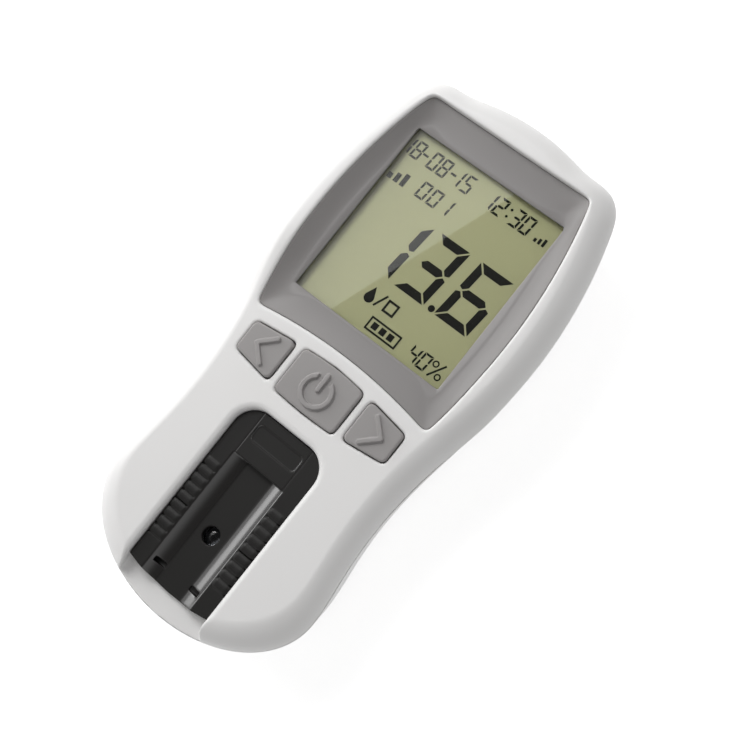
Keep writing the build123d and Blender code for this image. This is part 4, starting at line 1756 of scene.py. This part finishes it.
@dataclass(frozen=True)
class SoftBox:
    """A rectangular soft box that faces the meter and that the camera doesn't see.

    Attributes:
        name: Name of the lamp.
        place: Its centre.
        size: Its two sides.
        glow: How bright it looks, where 1 is white.
    """

    name: str
    place: Point
    size: Pair
    glow: float

    def build(self) -> bpy.types.Object:
        """Make the lamp.

        Returns:
            The lamp.
        """
        data = bpy.data.lights.new(self.name, "AREA")
        data.shape = "RECTANGLE"
        data.size, data.size_y = (side * MM for side in self.size)
        data.energy = self.glow * math.pi * data.size * data.size_y
        lamp = link_object(self.name, data)
        lamp.location = Vector(self.place) * MM
        lamp.rotation_euler = (-Vector(self.place)).to_track_quat("-Z", "Y").to_euler()
        lamp.visible_camera = False
        return lamp


@dataclass(frozen=True)
class Gradient:
    """Light of the surround, which changes with how far upwards it is looked at.

    Attributes:
        start: Upward part of the direction at which the change starts.
        end: Upward part at which it ends.
        below: Strength under the change.
        above: Strength over it.
    """

    start: float
    end: float
    below: float
    above: float

    def strength(self, tree: bpy.types.NodeTree, up: bpy.types.NodeSocket) -> bpy.types.NodeSocket:
        """Strength of the light in a direction.

        Args:
            tree: The world's tree.
            up: Upward part of the direction.

        Returns:
            The strength.
        """
        span = {"From Min": self.start, "From Max": self.end}
        span |= {"To Min": self.below, "To Max": self.above}
        soft = add_node(tree, "MapRange", {"Value": up}, span, interpolation_type="SMOOTHSTEP")
        return soft.outputs["Result"]


@dataclass(frozen=True)
class Studio:
    """Camera, lamps and a plain pale floor.

    Attributes:
        camera_place: Place of the camera in millimetres.
        camera_rows: Right, up and back directions of the camera.
        focal_pixels: Focal length in pixels of the square frame.
        frame_pixels: Side of that frame in pixels.
        sensor: Width of the sensor in millimetres.
        clip: Nearest and farthest distance that the camera shows, in metres.
        card_height: Height of the soft box over the meter.
        card_edge: Two points of its edge's mirror image, which crosses the window.
        card_size: Width and length of that soft box.
        card_glow: How bright it looks, where 1 is white.
        window_height: Height of the window's mirror face.
        boxes: The two soft boxes to the left: a low wide one and a high one.
        in_mirrors: The surround in mirrors: white at eye level, nearly dark overhead.
        on_object: The light that the surround throws on the object.
        floor_half: Half width of the floor.
        floor_drop: How far the floor lies under the meter.
        floor_colour: Colour of its paint.
        floor_glow: What is added to it for the eye and for mirrors, so that it looks white.
    """

    camera_place: Point = (97.368, -10.481, 297.521)
    camera_rows: tuple[Point, Point, Point] = (
        (0.751128, 0.620633, -0.224993),
        (-0.576797, 0.782768, 0.233621),
        (0.321110, -0.045704, 0.945938),
    )
    focal_pixels: float = 1450.0
    frame_pixels: float = 730.0
    sensor: float = 36.0
    clip: Pair = (0.01, 20.0)
    card_height: float = 500.0
    card_edge: tuple[Pair, Pair] = ((6.2, 48.65), (-9.5, 7.65))
    card_size: Pair = (300.0, 520.0)
    card_glow: float = 1.15
    window_height: float = 21.9
    boxes: tuple[SoftBox, SoftBox] = (
        SoftBox("soft_box_left", (-700.0, 30.0, 215.0), (420.0, 300.0), glow=3.7),
        SoftBox("soft_box_key", (-330.0, 190.0, 430.0), (240.0, 240.0), glow=6.2),
    )
    in_mirrors: Gradient = Gradient(start=0.57, end=0.87, below=1.0, above=0.08)
    on_object: Gradient = Gradient(start=0.2, end=0.9, below=0.56, above=0.28)
    floor_half: float = 3000.0
    floor_drop: float = 0.05
    floor_colour: str = "#EDEDED"
    floor_glow: float = 0.66

    def camera(self) -> None:
        """The camera at the photograph's viewing angle."""
        data = bpy.data.cameras.new("camera")
        data.sensor_width = self.sensor
        data.lens = self.focal_pixels * self.sensor / self.frame_pixels
        data.clip_start, data.clip_end = self.clip
        camera = link_object("camera", data)
        turn = Matrix(self.camera_rows).transposed().to_4x4()
        camera.matrix_world = Matrix.Translation(Vector(self.camera_place) * MM) @ turn
        bpy.context.scene.camera = camera

    def mirrored(self, point: Pair) -> np.ndarray:
        """Find what the camera sees mirrored in the window.

        Args:
            point: A point on the window.

        Returns:
            The point at the height of the soft box whose mirror image lies there.
        """
        x, y, z = self.camera_place
        image = np.array([x, y, 2 * self.window_height - z])
        start = np.array([*point, self.window_height])
        ray = start - image
        return start + ray * (self.card_height - self.window_height) / ray[2]

    def lamps(self) -> None:
        """A soft box over the left part of the window, and two to the left."""
        top, low = (self.mirrored(point)[:2] for point in self.card_edge)
        along = (top - low) / np.linalg.norm(top - low)
        side = np.array([-along[1], along[0]])
        centre = (top + low) / 2 + side * self.card_size[0] / 2
        place = (*centre, self.card_height)
        card = SoftBox("soft_box_top", place, self.card_size, self.card_glow).build()
        card.rotation_euler = (0.0, 0.0, math.atan2(along[1], along[0]) - math.pi / 2)
        for box in self.boxes:
            box.build()

    def world(self) -> None:
        """Even ambient light. The background itself is white to the eye and in mirrors."""
        world = bpy.data.worlds.new("studio")
        world.use_nodes = True
        bpy.context.scene.world = world
        tree = world.node_tree
        tree.nodes.clear()
        camera, seen = direct_rays(tree)
        direction = add_node(tree, "TexCoord").outputs["Generated"]
        up = add_node(tree, "SeparateXYZ", {0: direction}).outputs["Z"]
        mirrored = self.in_mirrors.strength(tree, up)
        ambient = self.on_object.strength(tree, up)
        shown = add_node(tree, "Math", {0: camera, 1: mirrored}, operation="MAXIMUM").outputs[0]
        strength = add_node(tree, "MapRange", {"Value": seen, "To Min": ambient, "To Max": shown})
        white = {"Color": linear("#FFFFFF")}
        light = add_node(tree, "Background", {"Strength": strength.outputs["Result"]}, white)
        output = add_node(tree, "OutputWorld")
        tree.links.new(light.outputs[0], output.inputs["Surface"])

    def floor(self) -> None:
        """White table top. It looks white to the eye and in mirrors, and keeps a faint shadow."""
        side = (-self.floor_half, self.floor_half)
        corners = np.array(rectangle(side, side, -self.floor_drop))
        floor = new_piece("floor", corners, [[0, 1, 2, 3]])
        material, tree, surface = new_material("table_white")
        _, seen = direct_rays(tree)
        paint = add_node(tree, "BsdfDiffuse", inputs={"Color": linear(self.floor_colour)})
        inputs = {"Color": linear("#FFFFFF"), "Strength": self.floor_glow}
        glow = add_node(tree, "Emission", inputs=inputs)
        both = add_node(tree, "AddShader", {0: paint.outputs[0], 1: glow.outputs[0]})
        mix = add_node(tree, "MixShader", {0: seen, 1: paint.outputs[0], 2: both.outputs[0]})
        tree.links.new(mix.outputs[0], surface)
        dress(floor, material)

    def build(self) -> None:
        """Build the studio."""
        self.camera()
        self.lamps()
        self.world()
        self.floor()
        bpy.context.scene.view_settings.view_transform = "Standard"


def main() -> None:
    """Load the frame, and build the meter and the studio."""
    logging.basicConfig(level=logging.INFO, format="%(name)s %(message)s")
    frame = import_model()
    Meter(frame).build()
    Studio().build()
    bpy.context.view_layer.update()


if __name__ == "__main__":
    main()
